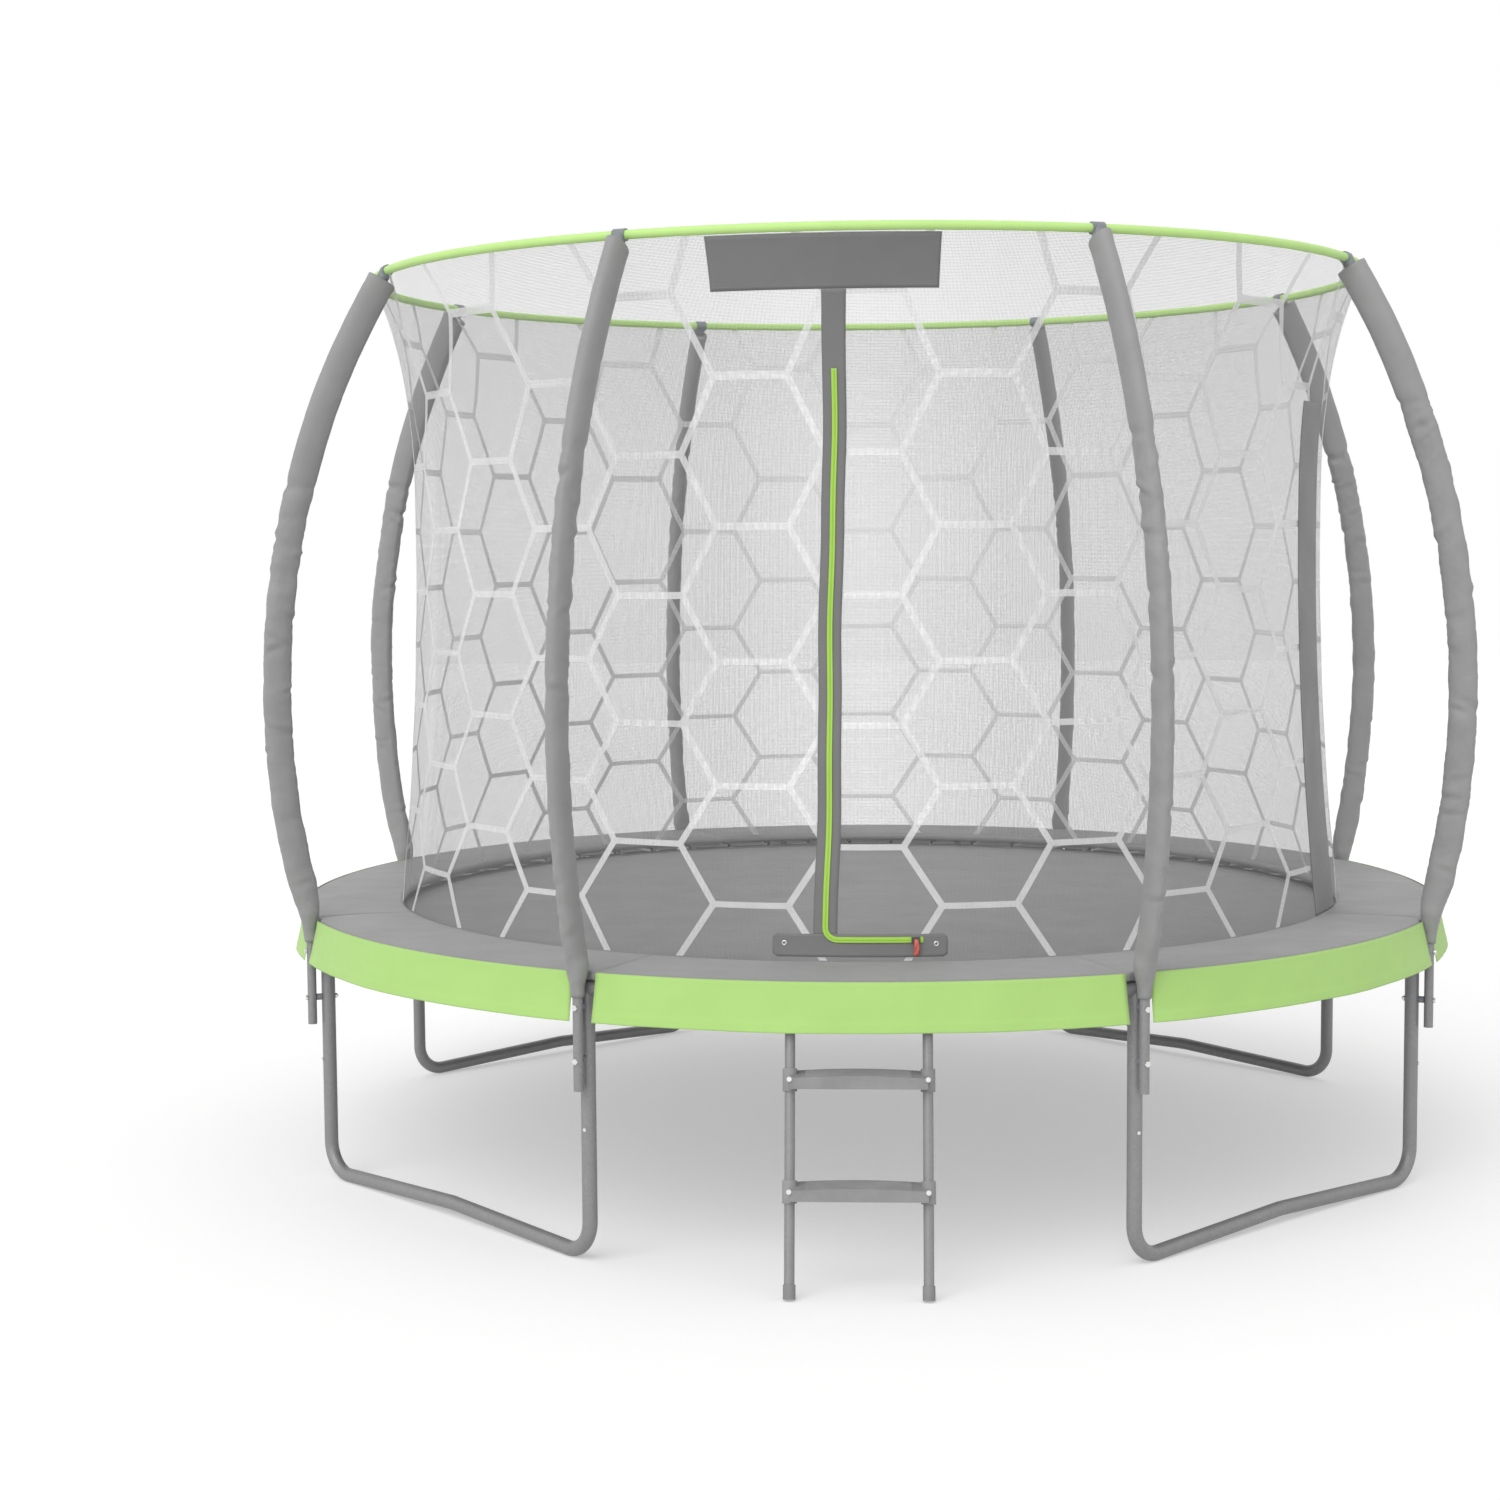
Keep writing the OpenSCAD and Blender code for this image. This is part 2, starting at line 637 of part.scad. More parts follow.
module zip_slider() {
    color(black) at_angle(slider_angle) {
        translate([slider_x, -slider_w / 2, zip_run_z - slider_h / 2])
            cube([slider_t, slider_w, slider_h]);
        for (side = [-1, 1]) translate([slider_x, side * (knuckle_w + ear_t + 1) / 2 - ear_t / 2,
                zip_run_z - knuckle_r])
            cube([slider_t + bar_stand + knuckle_r, ear_t, 2 * knuckle_r]);
        translate([bar_x, 0, zip_run_z]) rotate([90, 0, 0])
            cylinder(h = knuckle_w + ear_t + 1, r = bar_r, center = true);
    }
}

module zip_pull() {
    color(red) at_angle(slider_angle) translate([bar_x, 0, zip_run_z]) difference() {
        union() {
            rotate([90, 0, 0]) cylinder(h = knuckle_w, r = knuckle_r, center = true);
            translate([-pull_t / 2, -knuckle_w / 2, -2 * knuckle_r - 2])
                cube([pull_t, knuckle_w, 2 * knuckle_r + 2]);
            translate([-pull_t / 2, -pull_w / 2, -pull_len - knuckle_r])
                cube([pull_t, pull_w, pull_len - knuckle_r]);
        }
        rotate([90, 0, 0]) cylinder(h = 2 * knuckle_w, r = bar_r + pin_gap, center = true);
    }
}

// ---- mat, springs and pad ----

module each_spring() {
    count = rail_count * springs_per_rail;
    for (i = [0 : count - 1]) at_angle((i + 0.5) * 360 / count) children();
}

module mat() {
    color(dark_cloth) translate([0, 0, frame_z]) difference() {
        rotate_extrude($fn = ring_fn) polygon([
            [0, -mat_t / 2], [mat_r - hem_w, -mat_t / 2], [mat_r - hem_w, -hem_t / 2],
            [mat_r, -hem_t / 2], [mat_r, hem_t / 2], [mat_r - hem_w, hem_t / 2],
            [mat_r - hem_w, mat_t / 2], [0, mat_t / 2]]);
        each_spring() translate([mat_r - pocket_depth - slide_gap, -mat_ring_half_w - slot_gap,
                -mat_ring_t / 2 - slide_gap])
            cube([2 * pocket_depth, 2 * (mat_ring_half_w + slot_gap), mat_ring_t + 2 * slide_gap]);
    }
}

module mat_rings() {
    base = mat_r - pocket_depth;
    bar = mat_ring_bar;
    color(zinc) each_spring() translate([0, 0, frame_z - mat_ring_t / 2]) linear_extrude(mat_ring_t)
        difference() {
            polygon([[base, -mat_ring_half_w], [ring_tip_r, -bar - 3], [ring_tip_r, bar + 3],
                [base, mat_ring_half_w]]);
            polygon([[base + bar, -mat_ring_half_w + 1.6 * bar], [ring_tip_r - bar, -3],
                [ring_tip_r - bar, 3], [base + bar, mat_ring_half_w - 1.6 * bar]]);
        }
}

module springs() {
    coil_r = coil_d / 2;
    wire_r = wire_d / 2;
    thin_r = wire_r - weld_lip;     // the hooks, so that they end inside the straight wire
    bar_mid = ring_tip_r - mat_ring_bar / 2;
    in_rail = frame_ring_r - frame_r + 2 * frame_wall + wire_d;
    color(zinc) translate([0, 0, frame_z]) each_spring() {
        difference() {
            radial_rod(coil_end_r - coil_len, 0, coil_len, coil_r);
            radial_rod(coil_end_r - coil_len + wire_d, 0, coil_len - 2 * wire_d, coil_r - wire_d);
        }
        radial_rod(coil_end_r - cut, 0, in_rail - coil_end_r + cut, wire_r);
        translate([in_rail, 0, -hook_drop]) cylinder(h = hook_drop + wire_r / 2, r = thin_r);
        radial_rod(bar_mid + hook_r, 0, coil_end_r - coil_len + cut - bar_mid - hook_r, wire_r);
        bend(bar_mid, 0, hook_r, -20, 200) circle(thin_r, $fn = 24);
    }
}

module safety_pad() {
    color(dark_cloth) difference() {
        translate([0, 0, pad_top_z - pad_t]) rotate_extrude($fn = ring_fn) translate([pad_inner_r, 0])
            square([pad_w, pad_t]);
        for (k = [0 : rail_count - 1]) at_station(k)
            translate([pole_foot_r - sleeve_r - slide_gap, -sleeve_r - pad_gap, pad_top_z - pad_t - cut])
                cube([2 * sleeve_r, 2 * (sleeve_r + pad_gap), pad_t + 2 * cut]);
        for (side = [-1, 1]) translate([side * ladder_w / 2 - hook_w, hook_y - 2 * hook_bore_r,
                pad_top_z - pad_t - cut])
            cube([2 * hook_w, 3 * hook_bore_r, hook_bore_r + hook_t - frame_r + slot_gap + cut]);
    }
}

// One panel between each two poles, hung on the pad's edge.
module pad_skirt() {
    top = pad_top_z - slide_gap;
    foot = pad_outer_r + slide_gap + skirt_flare;
    head = pad_outer_r + slide_gap;
    color(green) for (k = [0 : rail_count - 1]) {
        from = station_angle(k) + skirt_slit;
        to = station_angle(k + 1) - skirt_slit;
        rotate_extrude(angle = to - from, start = from - 90, $fn = ring_fn) polygon([
            [head, top], [head + skirt_t, top], [foot + skirt_t, top - skirt_h], [foot, top - skirt_h]]);
    }
}

// Elastic loops under the frame ring, midway between springs, with their ends up against the pad.
module pad_straps() {
    step = rail_span / springs_per_rail;
    end = asin(frame_r / (frame_r + slide_gap + strap_t));
    color(black) for (i = [0 : rail_count * straps_per_rail - 1])
        at_angle(round((i + 0.5) * springs_per_rail / straps_per_rail) * step)
            translate([frame_ring_r, 0, frame_z]) rotate([90, 0, 0]) translate([0, 0, -strap_w / 2])
                rotate_extrude(angle = 180 + 2 * end, start = 180 - end)
                    translate([frame_r + slide_gap, 0]) square([strap_t, strap_w]);
}

// ---- ladder ----

// Draws a child in a ladder rail's own frame: its hook's centre at the origin, the rail along -Z.
module at_ladder_rail(side) {
    translate([side * ladder_w / 2, hook_y, frame_z]) rotate([-ladder_lean, 0, 0]) children();
}

module ladder_rails() {
    color(steel) for (side = [-1, 1]) at_ladder_rail(side) difference() {
        translate([0, 0, -rail_end]) tube(rail_end - rail_start, ladder_r, ladder_wall);
        for (z = [tread_low_z, tread_high_z]) translate([0, 0, -tread_along(z)]) rotate([90, 0, 0])
            cylinder(h = 4 * collar_r, r = rivet_r + hole_gap, center = true);
    }
}

function tread_along(z) = (frame_z - z) / cos(ladder_lean);

// A strip that goes over the frame ring from its inner side and ends on the plug in the rail.
module ladder_hooks() {
    color(steel) for (side = [-1, 1]) at_ladder_rail(side) {
        rotate([90, 0, 90]) translate([0, 0, -hook_w / 2])
            rotate_extrude(angle = 360 - hook_mouth, start = 0)
                translate([hook_bore_r, 0]) square([hook_t, hook_w]);
        translate([0, 0, -rail_start - hook_shank])
            cylinder(h = hook_shank + rail_start - hook_bore_r - hook_t / 2,
                r = ladder_r - ladder_wall - slide_gap);
    }
}

module tread_outline(w) {
    crown_r = (pow(w / 2, 2) + pow(tread_crown, 2)) / (2 * tread_crown);
    intersection() {
        translate([-w / 2, -tread_t / 2]) square([w, tread_t + tread_crown]);
        translate([0, tread_t / 2 + tread_crown - crown_r]) circle(crown_r, $fn = 180);
    }
}

module ladder_treads() {
    color(black) for (z = [tread_low_z, tread_high_z]) difference() {
        union() {
            translate([0, hook_y - (frame_z - z) * tan(ladder_lean) + tread_d / 2, z]) rotate([90, 0, 0])
                linear_extrude(tread_d) tread_outline(ladder_w);
            for (side = [-1, 1]) at_ladder_rail(side)
                translate([0, 0, -tread_along(z) - collar_len / 2])
                    cylinder(h = collar_len, r = collar_r);
        }
        for (side = [-1, 1]) at_ladder_rail(side) {
            translate([0, 0, -tread_along(z) - collar_len])
                cylinder(h = 2 * collar_len, r = ladder_r + slide_gap);
            translate([0, 0, -tread_along(z)]) rotate([90, 0, 0])
                cylinder(h = 2 * collar_r + tread_d, r = rivet_r + hole_gap, center = true);
        }
    }
}

module ladder_rivets() {
    color(zinc) for (z = [tread_low_z, tread_high_z], side = [-1, 1]) at_ladder_rail(side)
        translate([0, 0, -tread_along(z)]) rotate([90, 0, 0]) {
            translate([0, 0, -tread_d / 2 - 2]) cylinder(h = tread_d + 4, r = rivet_r);
            translate([0, 0, tread_d / 2 + 2]) cylinder(h = rivet_head_h, r = rivet_head_r);
        }
}

module ladder_feet() {
    color(black) for (side = [-1, 1]) at_ladder_rail(side) translate([0, 0, -rail_end - foot_end])
        difference() {
            cylinder(h = foot_len, r = foot_r);
            translate([0, 0, foot_end]) cylinder(h = foot_len, r = ladder_r + slide_gap);
        }
}

frame_rail(0);  // frame_rail_1
frame_rail(1);  // frame_rail_2
frame_rail(2);  // frame_rail_3
frame_rail(3);  // frame_rail_4
frame_rail(4);  // frame_rail_5
frame_rail(5);  // frame_rail_6
frame_rail(6);  // frame_rail_7
frame_rail(7);  // frame_rail_8
leg_base(0);  // leg_base_1
leg_base(1);  // leg_base_2
leg_base(2);  // leg_base_3
leg_base(3);  // leg_base_4
leg_post(0);  // leg_post_1
leg_post(1);  // leg_post_2
leg_post(2);  // leg_post_3
leg_post(3);  // leg_post_4
leg_post(4);  // leg_post_5
leg_post(5);  // leg_post_6
leg_post(6);  // leg_post_7
leg_post(7);  // leg_post_8
net_pole(0);  // net_pole_1
net_pole(1);  // net_pole_2
net_pole(2);  // net_pole_3
net_pole(3);  // net_pole_4
net_pole(4);  // net_pole_5
net_pole(5);  // net_pole_6
net_pole(6);  // net_pole_7
net_pole(7);  // net_pole_8
pole_sleeve(0);  // pole_sleeve_1
pole_sleeve(1);  // pole_sleeve_2
pole_sleeve(2);  // pole_sleeve_3
pole_sleeve(3);  // pole_sleeve_4
pole_sleeve(4);  // pole_sleeve_5
pole_sleeve(5);  // pole_sleeve_6
pole_sleeve(6);  // pole_sleeve_7
pole_sleeve(7);  // pole_sleeve_8
tube_screws();
pole_bolts();
pole_spacers();
pole_caps();
ring_rods();
ring_sleeve();
net();
net_side_strip();
banner();
door_strip();
zip_tape();
zip_slider();
zip_pull();
mat();
mat_rings();
springs();
safety_pad();
pad_skirt();
pad_straps();
ladder_rails();
ladder_hooks();
ladder_treads();
ladder_rivets();
ladder_feet();
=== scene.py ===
import math

import bmesh
import bpy
import numpy as np
from mathutils import Matrix, Vector
from mathutils.bvhtree import BVHTree


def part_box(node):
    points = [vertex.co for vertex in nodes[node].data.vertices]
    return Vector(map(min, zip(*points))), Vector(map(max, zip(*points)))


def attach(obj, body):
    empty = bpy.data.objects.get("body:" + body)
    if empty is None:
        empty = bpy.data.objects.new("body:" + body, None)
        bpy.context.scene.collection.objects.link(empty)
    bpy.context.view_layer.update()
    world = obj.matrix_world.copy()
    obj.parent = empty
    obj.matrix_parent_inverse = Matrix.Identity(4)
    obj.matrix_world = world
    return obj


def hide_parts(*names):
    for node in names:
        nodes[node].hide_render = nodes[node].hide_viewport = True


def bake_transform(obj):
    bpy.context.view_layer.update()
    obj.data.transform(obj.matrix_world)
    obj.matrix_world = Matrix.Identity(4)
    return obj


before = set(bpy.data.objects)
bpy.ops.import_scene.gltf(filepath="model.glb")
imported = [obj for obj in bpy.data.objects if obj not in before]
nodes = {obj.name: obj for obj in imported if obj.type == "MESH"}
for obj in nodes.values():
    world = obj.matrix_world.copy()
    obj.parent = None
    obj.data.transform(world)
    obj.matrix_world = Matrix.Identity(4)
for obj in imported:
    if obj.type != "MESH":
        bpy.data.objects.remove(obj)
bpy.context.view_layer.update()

# %% [markdown]
# ## The camera
# The photograph was taken from about 7.6 m in front, a little above the middle of the trampoline,
# with a long lens. The camera is built from a distance, a height and three small turns, so that
# each number means something by itself. An empty or a Track To constraint could aim it too, but
# then the roll would be hidden. The camera also orbits the trampoline a little, because the
# photograph isn't taken squarely on the door.
# %% Camera
PHOTO = 1500                              # pixels of the square photograph's side
SENSOR = 36.0
LENS = 60.53
CAM_DISTANCE = 7.602
CAM_HEIGHT = 1.774
CAM_ORBIT = math.radians(0.62)
CAM_YAW = math.radians(2.625)
CAM_PITCH = math.radians(4.683)
CAM_ROLL = math.radians(-0.438)

camera_data = bpy.data.cameras.new("camera")
camera_data.sensor_fit = "AUTO"
camera_data.sensor_width = SENSOR
camera_data.lens = LENS
camera = bpy.data.objects.new("camera", camera_data)
bpy.context.scene.collection.objects.link(camera)
camera.matrix_world = (
    Matrix.Rotation(CAM_ORBIT, 4, "Z")
    @ Matrix.Translation((0, -CAM_DISTANCE, CAM_HEIGHT))
    @ Matrix.Rotation(CAM_YAW, 4, "Z")
    @ Matrix.Rotation(math.pi / 2 - CAM_PITCH, 4, "X")
    @ Matrix.Rotation(CAM_ROLL, 4, "Z")
)
bpy.context.scene.camera = camera
bpy.context.scene.view_settings.view_transform = "Standard"
print("camera at", [round(v, 3) for v in camera.matrix_world.translation])

# %% [markdown]
# ## Named points of the photograph
# These are pixels of the 1500 by 1500 photograph: the object's edges, and the middles of small
# features. The camera was settled by them. At the end, the notebook measures how far each feature
# shows from its point.
# %% Image points
EDGES = {"left": 262.9, "right": 1478.4, "top": 219.9, "bottom": 1301.1}
POINTS = {
    "banner": (822.9, 261.7),
    "zip_pull": (916.6, 947.5),
    "zip_corner": (825.5, 939.8),
    "eyelet_left": (784.2, 942.8),
    "eyelet_right": (936.3, 943.8),
    "comb_row_0": (670.2, 294.2),
    "comb_row_4": (901.6, 594.7),
    "comb_row_7": (789.1, 786.9),
    "comb_row_9": (788.2, 906.0),
    "comb_corner_low": (680.9, 454.4),
    "comb_corner_side": (901.2, 451.3),
    "comb_corner_foot": (680.1, 843.9),
    "rivet_high_left": (789.7, 1080.3),
    "rivet_high_right": (928.3, 1081.0),
    "tread_high": (859.0, 1080.2),
    "cap_right": (1351.9, 267.7),
}


def pixel_ray(x, y):
    """The start and direction of the ray through a pixel of the photograph, in the shared frame."""
    d = camera_data
    aim = Vector((x - PHOTO / 2 + d.shift_x * PHOTO, PHOTO / 2 - y + d.shift_y * PHOTO,
                  -PHOTO * LENS / SENSOR))
    return camera.matrix_world.translation, (camera.matrix_world.to_3x3() @ aim).normalized()


MISS_FROM, MISS_STEP, MISS_STEPS = 4.0, 0.05, 120     # metres along a ray that meets nothing


def on_surface(carrier, x, y):
    """Where the ray through a pixel meets a finished piece, or else the place on it nearest the ray."""
    tree = BVHTree.FromObject(carrier, bpy.context.evaluated_depsgraph_get())
    start, aim = pixel_ray(x, y)
    hit = tree.ray_cast(start, aim)[0]
    if hit is None:
        tries = [tree.find_nearest(start + aim * (MISS_FROM + MISS_STEP * i)) for i in range(MISS_STEPS)]
        hit = min(tries, key=lambda found: found[3])[0]
    return hit


def to_pixels(points):
    """Pixels of the photograph for an array of points in the shared frame."""
    m = np.array(camera.matrix_world.inverted())
    p = np.asarray(points) @ m[:3, :3].T + m[:3, 3]
    scale = PHOTO * LENS / SENSOR / -p[:, 2]
    return np.stack([PHOTO / 2 + p[:, 0] * scale, PHOTO / 2 - p[:, 1] * scale], 1)


# %% [markdown]
# ## Sizes taken from the frame
# The heights and radii come from the boxes of the CAD nodes, so that the cloth fits the frame. The
# curved net poles are a straight foot, a short bend and one long arc that ends at the top ring. The
# arc's radius follows from where it starts and ends, so it is found by halving an interval.
# %% Sizes
pad_low, pad_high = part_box("safety_pad")
ring_low, ring_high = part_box("ring_sleeve")
net_low, net_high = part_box("net")
mat_low, mat_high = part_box("mat")
PAD_TOP, PAD_BOTTOM, PAD_OUT = pad_high.z, pad_low.z, pad_high.x
PAD_WIDTH = 0.285
PAD_IN = PAD_OUT - PAD_WIDTH
RING_TUBE = (ring_high.z - ring_low.z) / 2
RING_Z, RING_R = (ring_high.z + ring_low.z) / 2, ring_high.x - RING_TUBE
MAT_Z, MAT_R = (mat_low.z + mat_high.z) / 2, mat_high.x
FRAME_R, FRAME_Z, FRAME_TUBE = 1.645, 0.690, 0.021            # the frame ring and its tube's radius
POLE_FOOT, POLE_FOOT_TOP, POLE_BEND, POLE_BOW, POLE_TUBE = 1.691, 0.715, 0.300, 0.079, 0.0125
LEG_HALF_ANGLE = 21
STATIONS = [45 + 90 * (k // 2) + (-1 if k % 2 == 0 else 1) * LEG_HALF_ANGLE for k in range(8)]
CAP_LENGTH = 0.076
LADDER_HALF, LADDER_Y, LADDER_LEAN = 0.164, -1.6368, math.radians(14)

POLE_REACH = POLE_FOOT + POLE_BOW - RING_R       # from the pole's outermost place in to the ring
arc_low, arc_high = POLE_REACH, 40.0
for _ in range(60):
    arc_r = (arc_low + arc_high) / 2
    rise = math.sqrt(2 * POLE_BOW * (arc_r + POLE_BEND) - POLE_BOW**2)
    rise += math.sqrt(2 * POLE_REACH * arc_r - POLE_REACH**2)
    arc_low, arc_high = (arc_low, arc_r) if rise > RING_Z - POLE_FOOT_TOP else (arc_r, arc_high)
POLE_ARC = arc_r
FOOT_LEAN = math.acos(1 - POLE_BOW / (POLE_ARC + POLE_BEND))
TOP_LEAN = math.acos(1 - POLE_REACH / POLE_ARC)
POLE_ARC_X = POLE_FOOT + POLE_BOW - POLE_ARC
POLE_ARC_Z = POLE_FOOT_TOP + (POLE_ARC + POLE_BEND) * math.sin(FOOT_LEAN)
print("pole arc radius", round(POLE_ARC, 3), "ring", round(RING_R, 3), round(RING_Z, 4))


# %% [markdown]
# ## Helpers for meshes
# Most pieces are grids of points: a cloth has one grid direction across and one along. A grid gives
# clean quads, and its UV map can hold real lengths in metres, so that a weave keeps its scale. The
# helpers below place points around the trampoline, turn a grid into a piece, give a cloth its
# thickness, and sweep wire.
# %% Points around the trampoline
def around(angle, r, z):
    """Points at angles in degrees from the front, a radius and a height."""
    a, r, z = np.broadcast_arrays(np.radians(angle), r, z)
    return np.stack([r * np.sin(a), -r * np.cos(a), z], -1)


def degrees_along(length, r):
    return math.degrees(length / r)


def ladder_y(z):
    """Where the leaning ladder's rails are at a height."""
    return LADDER_Y - (FRAME_Z - z) * math.tan(LADDER_LEAN)


# %% [markdown]
# ### Shapes in numbers
# Creases, seams and folds are all small changes of height. A displacement texture could make them,
# but it is hard to place to the millimetre. Here a crease is a hump and a hem is a smooth step, and
# both are added to the points of a grid before it becomes a mesh.
# %% Humps, steps and turns
def hump(distance, width, power=2):
    """1 in the middle, and almost nothing beyond about twice the width."""
    return np.exp(-((distance / width) ** power))


def step_down(distance, width):
    """1 well before a line and 0 well past it, in a smooth step of about that width."""
    return 1 / (1 + np.exp(distance / width))


def turns(count):
    """Evenly spaced turns in radians, for the points round a section."""
    return np.linspace(0, 2 * np.pi, count, endpoint=False)


def turn_gap(turn, other):
    """Signed gap between two turns, from -pi to pi."""
    return np.angle(np.exp(1j * (turn - other)))


def run_along(path):
    """Length along a path, up to each of its points."""
    return np.concatenate([[0], np.cumsum(np.linalg.norm(np.diff(path, axis=0), axis=1))])


# %% A piece from a mesh
def add_piece(name, verts, faces, uv=None):
    mesh = bpy.data.meshes.new(name)
    mesh.from_pydata(np.asarray(verts, float).reshape(-1, 3).tolist(), [], np.asarray(faces).tolist())
    if uv is not None:
        mesh.uv_layers.new(name="cloth").data.foreach_set("uv", np.asarray(uv, np.float32).ravel())
    mesh.polygons.foreach_set("use_smooth", [True] * len(mesh.polygons))
    piece = bpy.data.objects.new(name, mesh)
    bpy.context.scene.collection.objects.link(piece)
    return piece


def grid_piece(name, points, us, vs, wrap_u=False, wrap_v=False, flip=False):
    """Quads from points[u, v]. us and vs are lengths along the cloth, with one more where it wraps."""
    nu, nv = points.shape[:2]
    i, j = np.meshgrid(np.arange(nu - (not wrap_u)), np.arange(nv - (not wrap_v)), indexing="ij")
    i, j = i.ravel(), j.ravel()
    corners = [(i, j), (i + 1, j), (i + 1, j + 1), (i, j + 1)]
    if flip:
        corners.reverse()
    faces = np.stack([(a % nu) * nv + b % nv for a, b in corners], 1)
    uv = np.stack([np.stack([np.asarray(us)[a], np.asarray(vs)[b]], 1) for a, b in corners], 1)
    return add_piece(name, points, faces, uv)


# %% Thickness, modifiers and joining
def piece_from_bmesh(name, bm):
    mesh = bpy.data.meshes.new(name)
    bm.to_mesh(mesh)
    bm.free()
    piece = bpy.data.objects.new(name, mesh)
    bpy.context.scene.collection.objects.link(piece)
    return piece


def apply_modifiers(piece):
    bpy.context.view_layer.update()
    done = bpy.data.meshes.new_from_object(piece.evaluated_get(bpy.context.evaluated_depsgraph_get()))
    piece.modifiers.clear()
    piece.data = done
    return piece


def thicken(piece, thickness):
    """Turns a sheet of quads into a closed skin, half of it on each side of the sheet."""
    skin = piece.modifiers.new("skin", "SOLIDIFY")
    skin.thickness, skin.offset = thickness, 0.0
    return apply_modifiers(piece)


def join(name, pieces):
    """One piece from several meshes that ride together."""
    bm = bmesh.new()
    for p in pieces:
        bm.from_mesh(p.data)
        bpy.data.objects.remove(p)
    return piece_from_bmesh(name, bm)


# %% [markdown]
# ### Wire
# The springs, the mat's rings and the grip ribs are round sections that follow a line. A curve
# object with a bevel could draw them, but its section may twist at tight bends. This helper turns
# the section as little as it can from one point to the next.
# %% Sweeping a section along a path
def sweep_points(path, radius, sides, closed=False):
    """Rings of points round a path, turned as little as possible from one to the next."""
    path = np.asarray(path, float)
    ahead = np.roll(path, -1, 0) - np.roll(path, 1, 0)
    if not closed:
        ahead[0], ahead[-1] = path[1] - path[0], path[-1] - path[-2]
    ahead /= np.linalg.norm(ahead, axis=1)[:, None]
    side = np.cross(ahead[0], [0, 0, 1.0])
    if np.linalg.norm(side) < 1e-3:
        side = np.cross(ahead[0], [1.0, 0, 0])
    sides_of, turn = [], turns(sides)
    for t in ahead:
        side = side - t * (side @ t)
        side /= np.linalg.norm(side)
        sides_of.append(side)
    side = np.array(sides_of)[:, None]
    up = np.cross(ahead, side[:, 0])[:, None]
    r = np.broadcast_to(radius, len(path))[:, None, None]
    return path[:, None] + r * (np.cos(turn)[None, :, None] * side + np.sin(turn)[None, :, None] * up)


def wire(name, path, radius, sides=8, closed=False):
    """A round wire with closed ends."""
    rings = sweep_points(path, radius, sides, closed)
    length = run_along(path)
    piece = grid_piece(name, rings, np.append(length, length[-1] + 0.001),
                       np.linspace(0, 2 * np.pi * radius, sides + 1), wrap_u=closed, wrap_v=True, flip=True)
    if not closed:
        bm = bmesh.new()
        bm.from_mesh(piece.data)
        bmesh.ops.holes_fill(bm, edges=[e for e in bm.edges if e.is_boundary], sides=0)
        bm.to_mesh(piece.data)
        bm.free()
    return piece


# %% [markdown]
# ### Loose cloth
# No cloth lies quite even. A noise texture could move its surface, but a trim that is sewn on the
# net has to ask for the net's own ripple at the same place. A sum of a few waves with fixed random
# headings gives one height for each place, and the same one on each run.
# %% Ripples for loose cloth
def ripples(u, v, size, seed, waves=10):
    """A smooth uneven height from -1 to 1 over lengths u and v, with bumps of about the given size."""
    rng = np.random.default_rng(seed)
    height = np.zeros(np.broadcast(u, v).shape)
    for _ in range(waves):
        heading, stretch, phase = rng.uniform(0, np.pi), rng.uniform(0.6, 1.5), rng.uniform(0, 2 * np.pi)
        along = u * np.cos(heading) + v * np.sin(heading)
        height = height + np.cos(2 * np.pi * stretch * along / size + phase)
    return height / math.sqrt(waves) / 1.6


# %% [markdown]
# ## Finishes
# Each finish is a Principled shader with procedural colour, roughness and bump. Zinc coating has
# pale crystals (spangle) and fine streaks. Cloth has a weave that follows the UV map, in real
# millimetres, under slow changes of tone where it has rubbed and creased. An image texture could do
# the same, but a procedural one needs no file and never repeats.
# %% Shader helpers
def from_hex(code):
    """Linear colour from a web colour as it is seen on screen."""
    srgb = [int(code[i : i + 2], 16) / 255 for i in (0, 2, 4)]
    return [c / 12.92 if c <= 0.04045 else ((c + 0.055) / 1.055) ** 2.4 for c in srgb] + [1.0]


def shader_node(mat, kind, links=(), **values):
    """A node of that kind with its socket values, fed by (socket, output) links."""
    n = mat.node_tree.nodes.new("ShaderNode" + kind)
    for key, value in values.items():
        if hasattr(n, key):
            setattr(n, key, value)
        else:
            n.inputs[key.replace("_", " ")].default_value = value
    for socket, output in links:
        mat.node_tree.links.new(output, n.inputs[socket])
    return n


def new_finish(name, roughness, metallic=0.0, **sockets):
    mat = bpy.data.materials.new(name)
    mat.use_nodes = True
    shader = mat.node_tree.nodes["Principled BSDF"]
    shader.inputs["Roughness"].default_value = roughness
    shader.inputs["Metallic"].default_value = metallic
    for key, value in sockets.items():
        shader.inputs[key.replace("_", " ")].default_value = value
    return mat, shader


def two_tone(mat, shader, mask, code, darker, lighter):
    """Base colour that runs from a darker shade of a web colour to a lighter one by a mask."""
    tone = from_hex(code)
    mix = shader_node(mat, "Mix", data_type="RGBA")
    mat.node_tree.links.new(mask, mix.inputs["Factor"])
    for socket, level in ((6, darker), (7, lighter)):       # the two colours that are mixed
        mix.inputs[socket].default_value = [c * level for c in tone[:3]] + [1.0]
    mat.node_tree.links.new(mix.outputs[2], shader.inputs["Base Color"])


def ramp(mat, value, low, high, to_low=0.0, to_high=1.0):
    return shader_node(mat, "MapRange", [("Value", value)], From_Min=low, From_Max=high,
                       To_Min=to_low, To_Max=to_high).outputs["Result"]


def uneven_roughness(mat, shader, mask, low, high):
    """Roughness that changes with a mask, as where a surface has been rubbed."""
    mat.node_tree.links.new(ramp(mat, mask, 0.3, 0.7, low, high), shader.inputs["Roughness"])


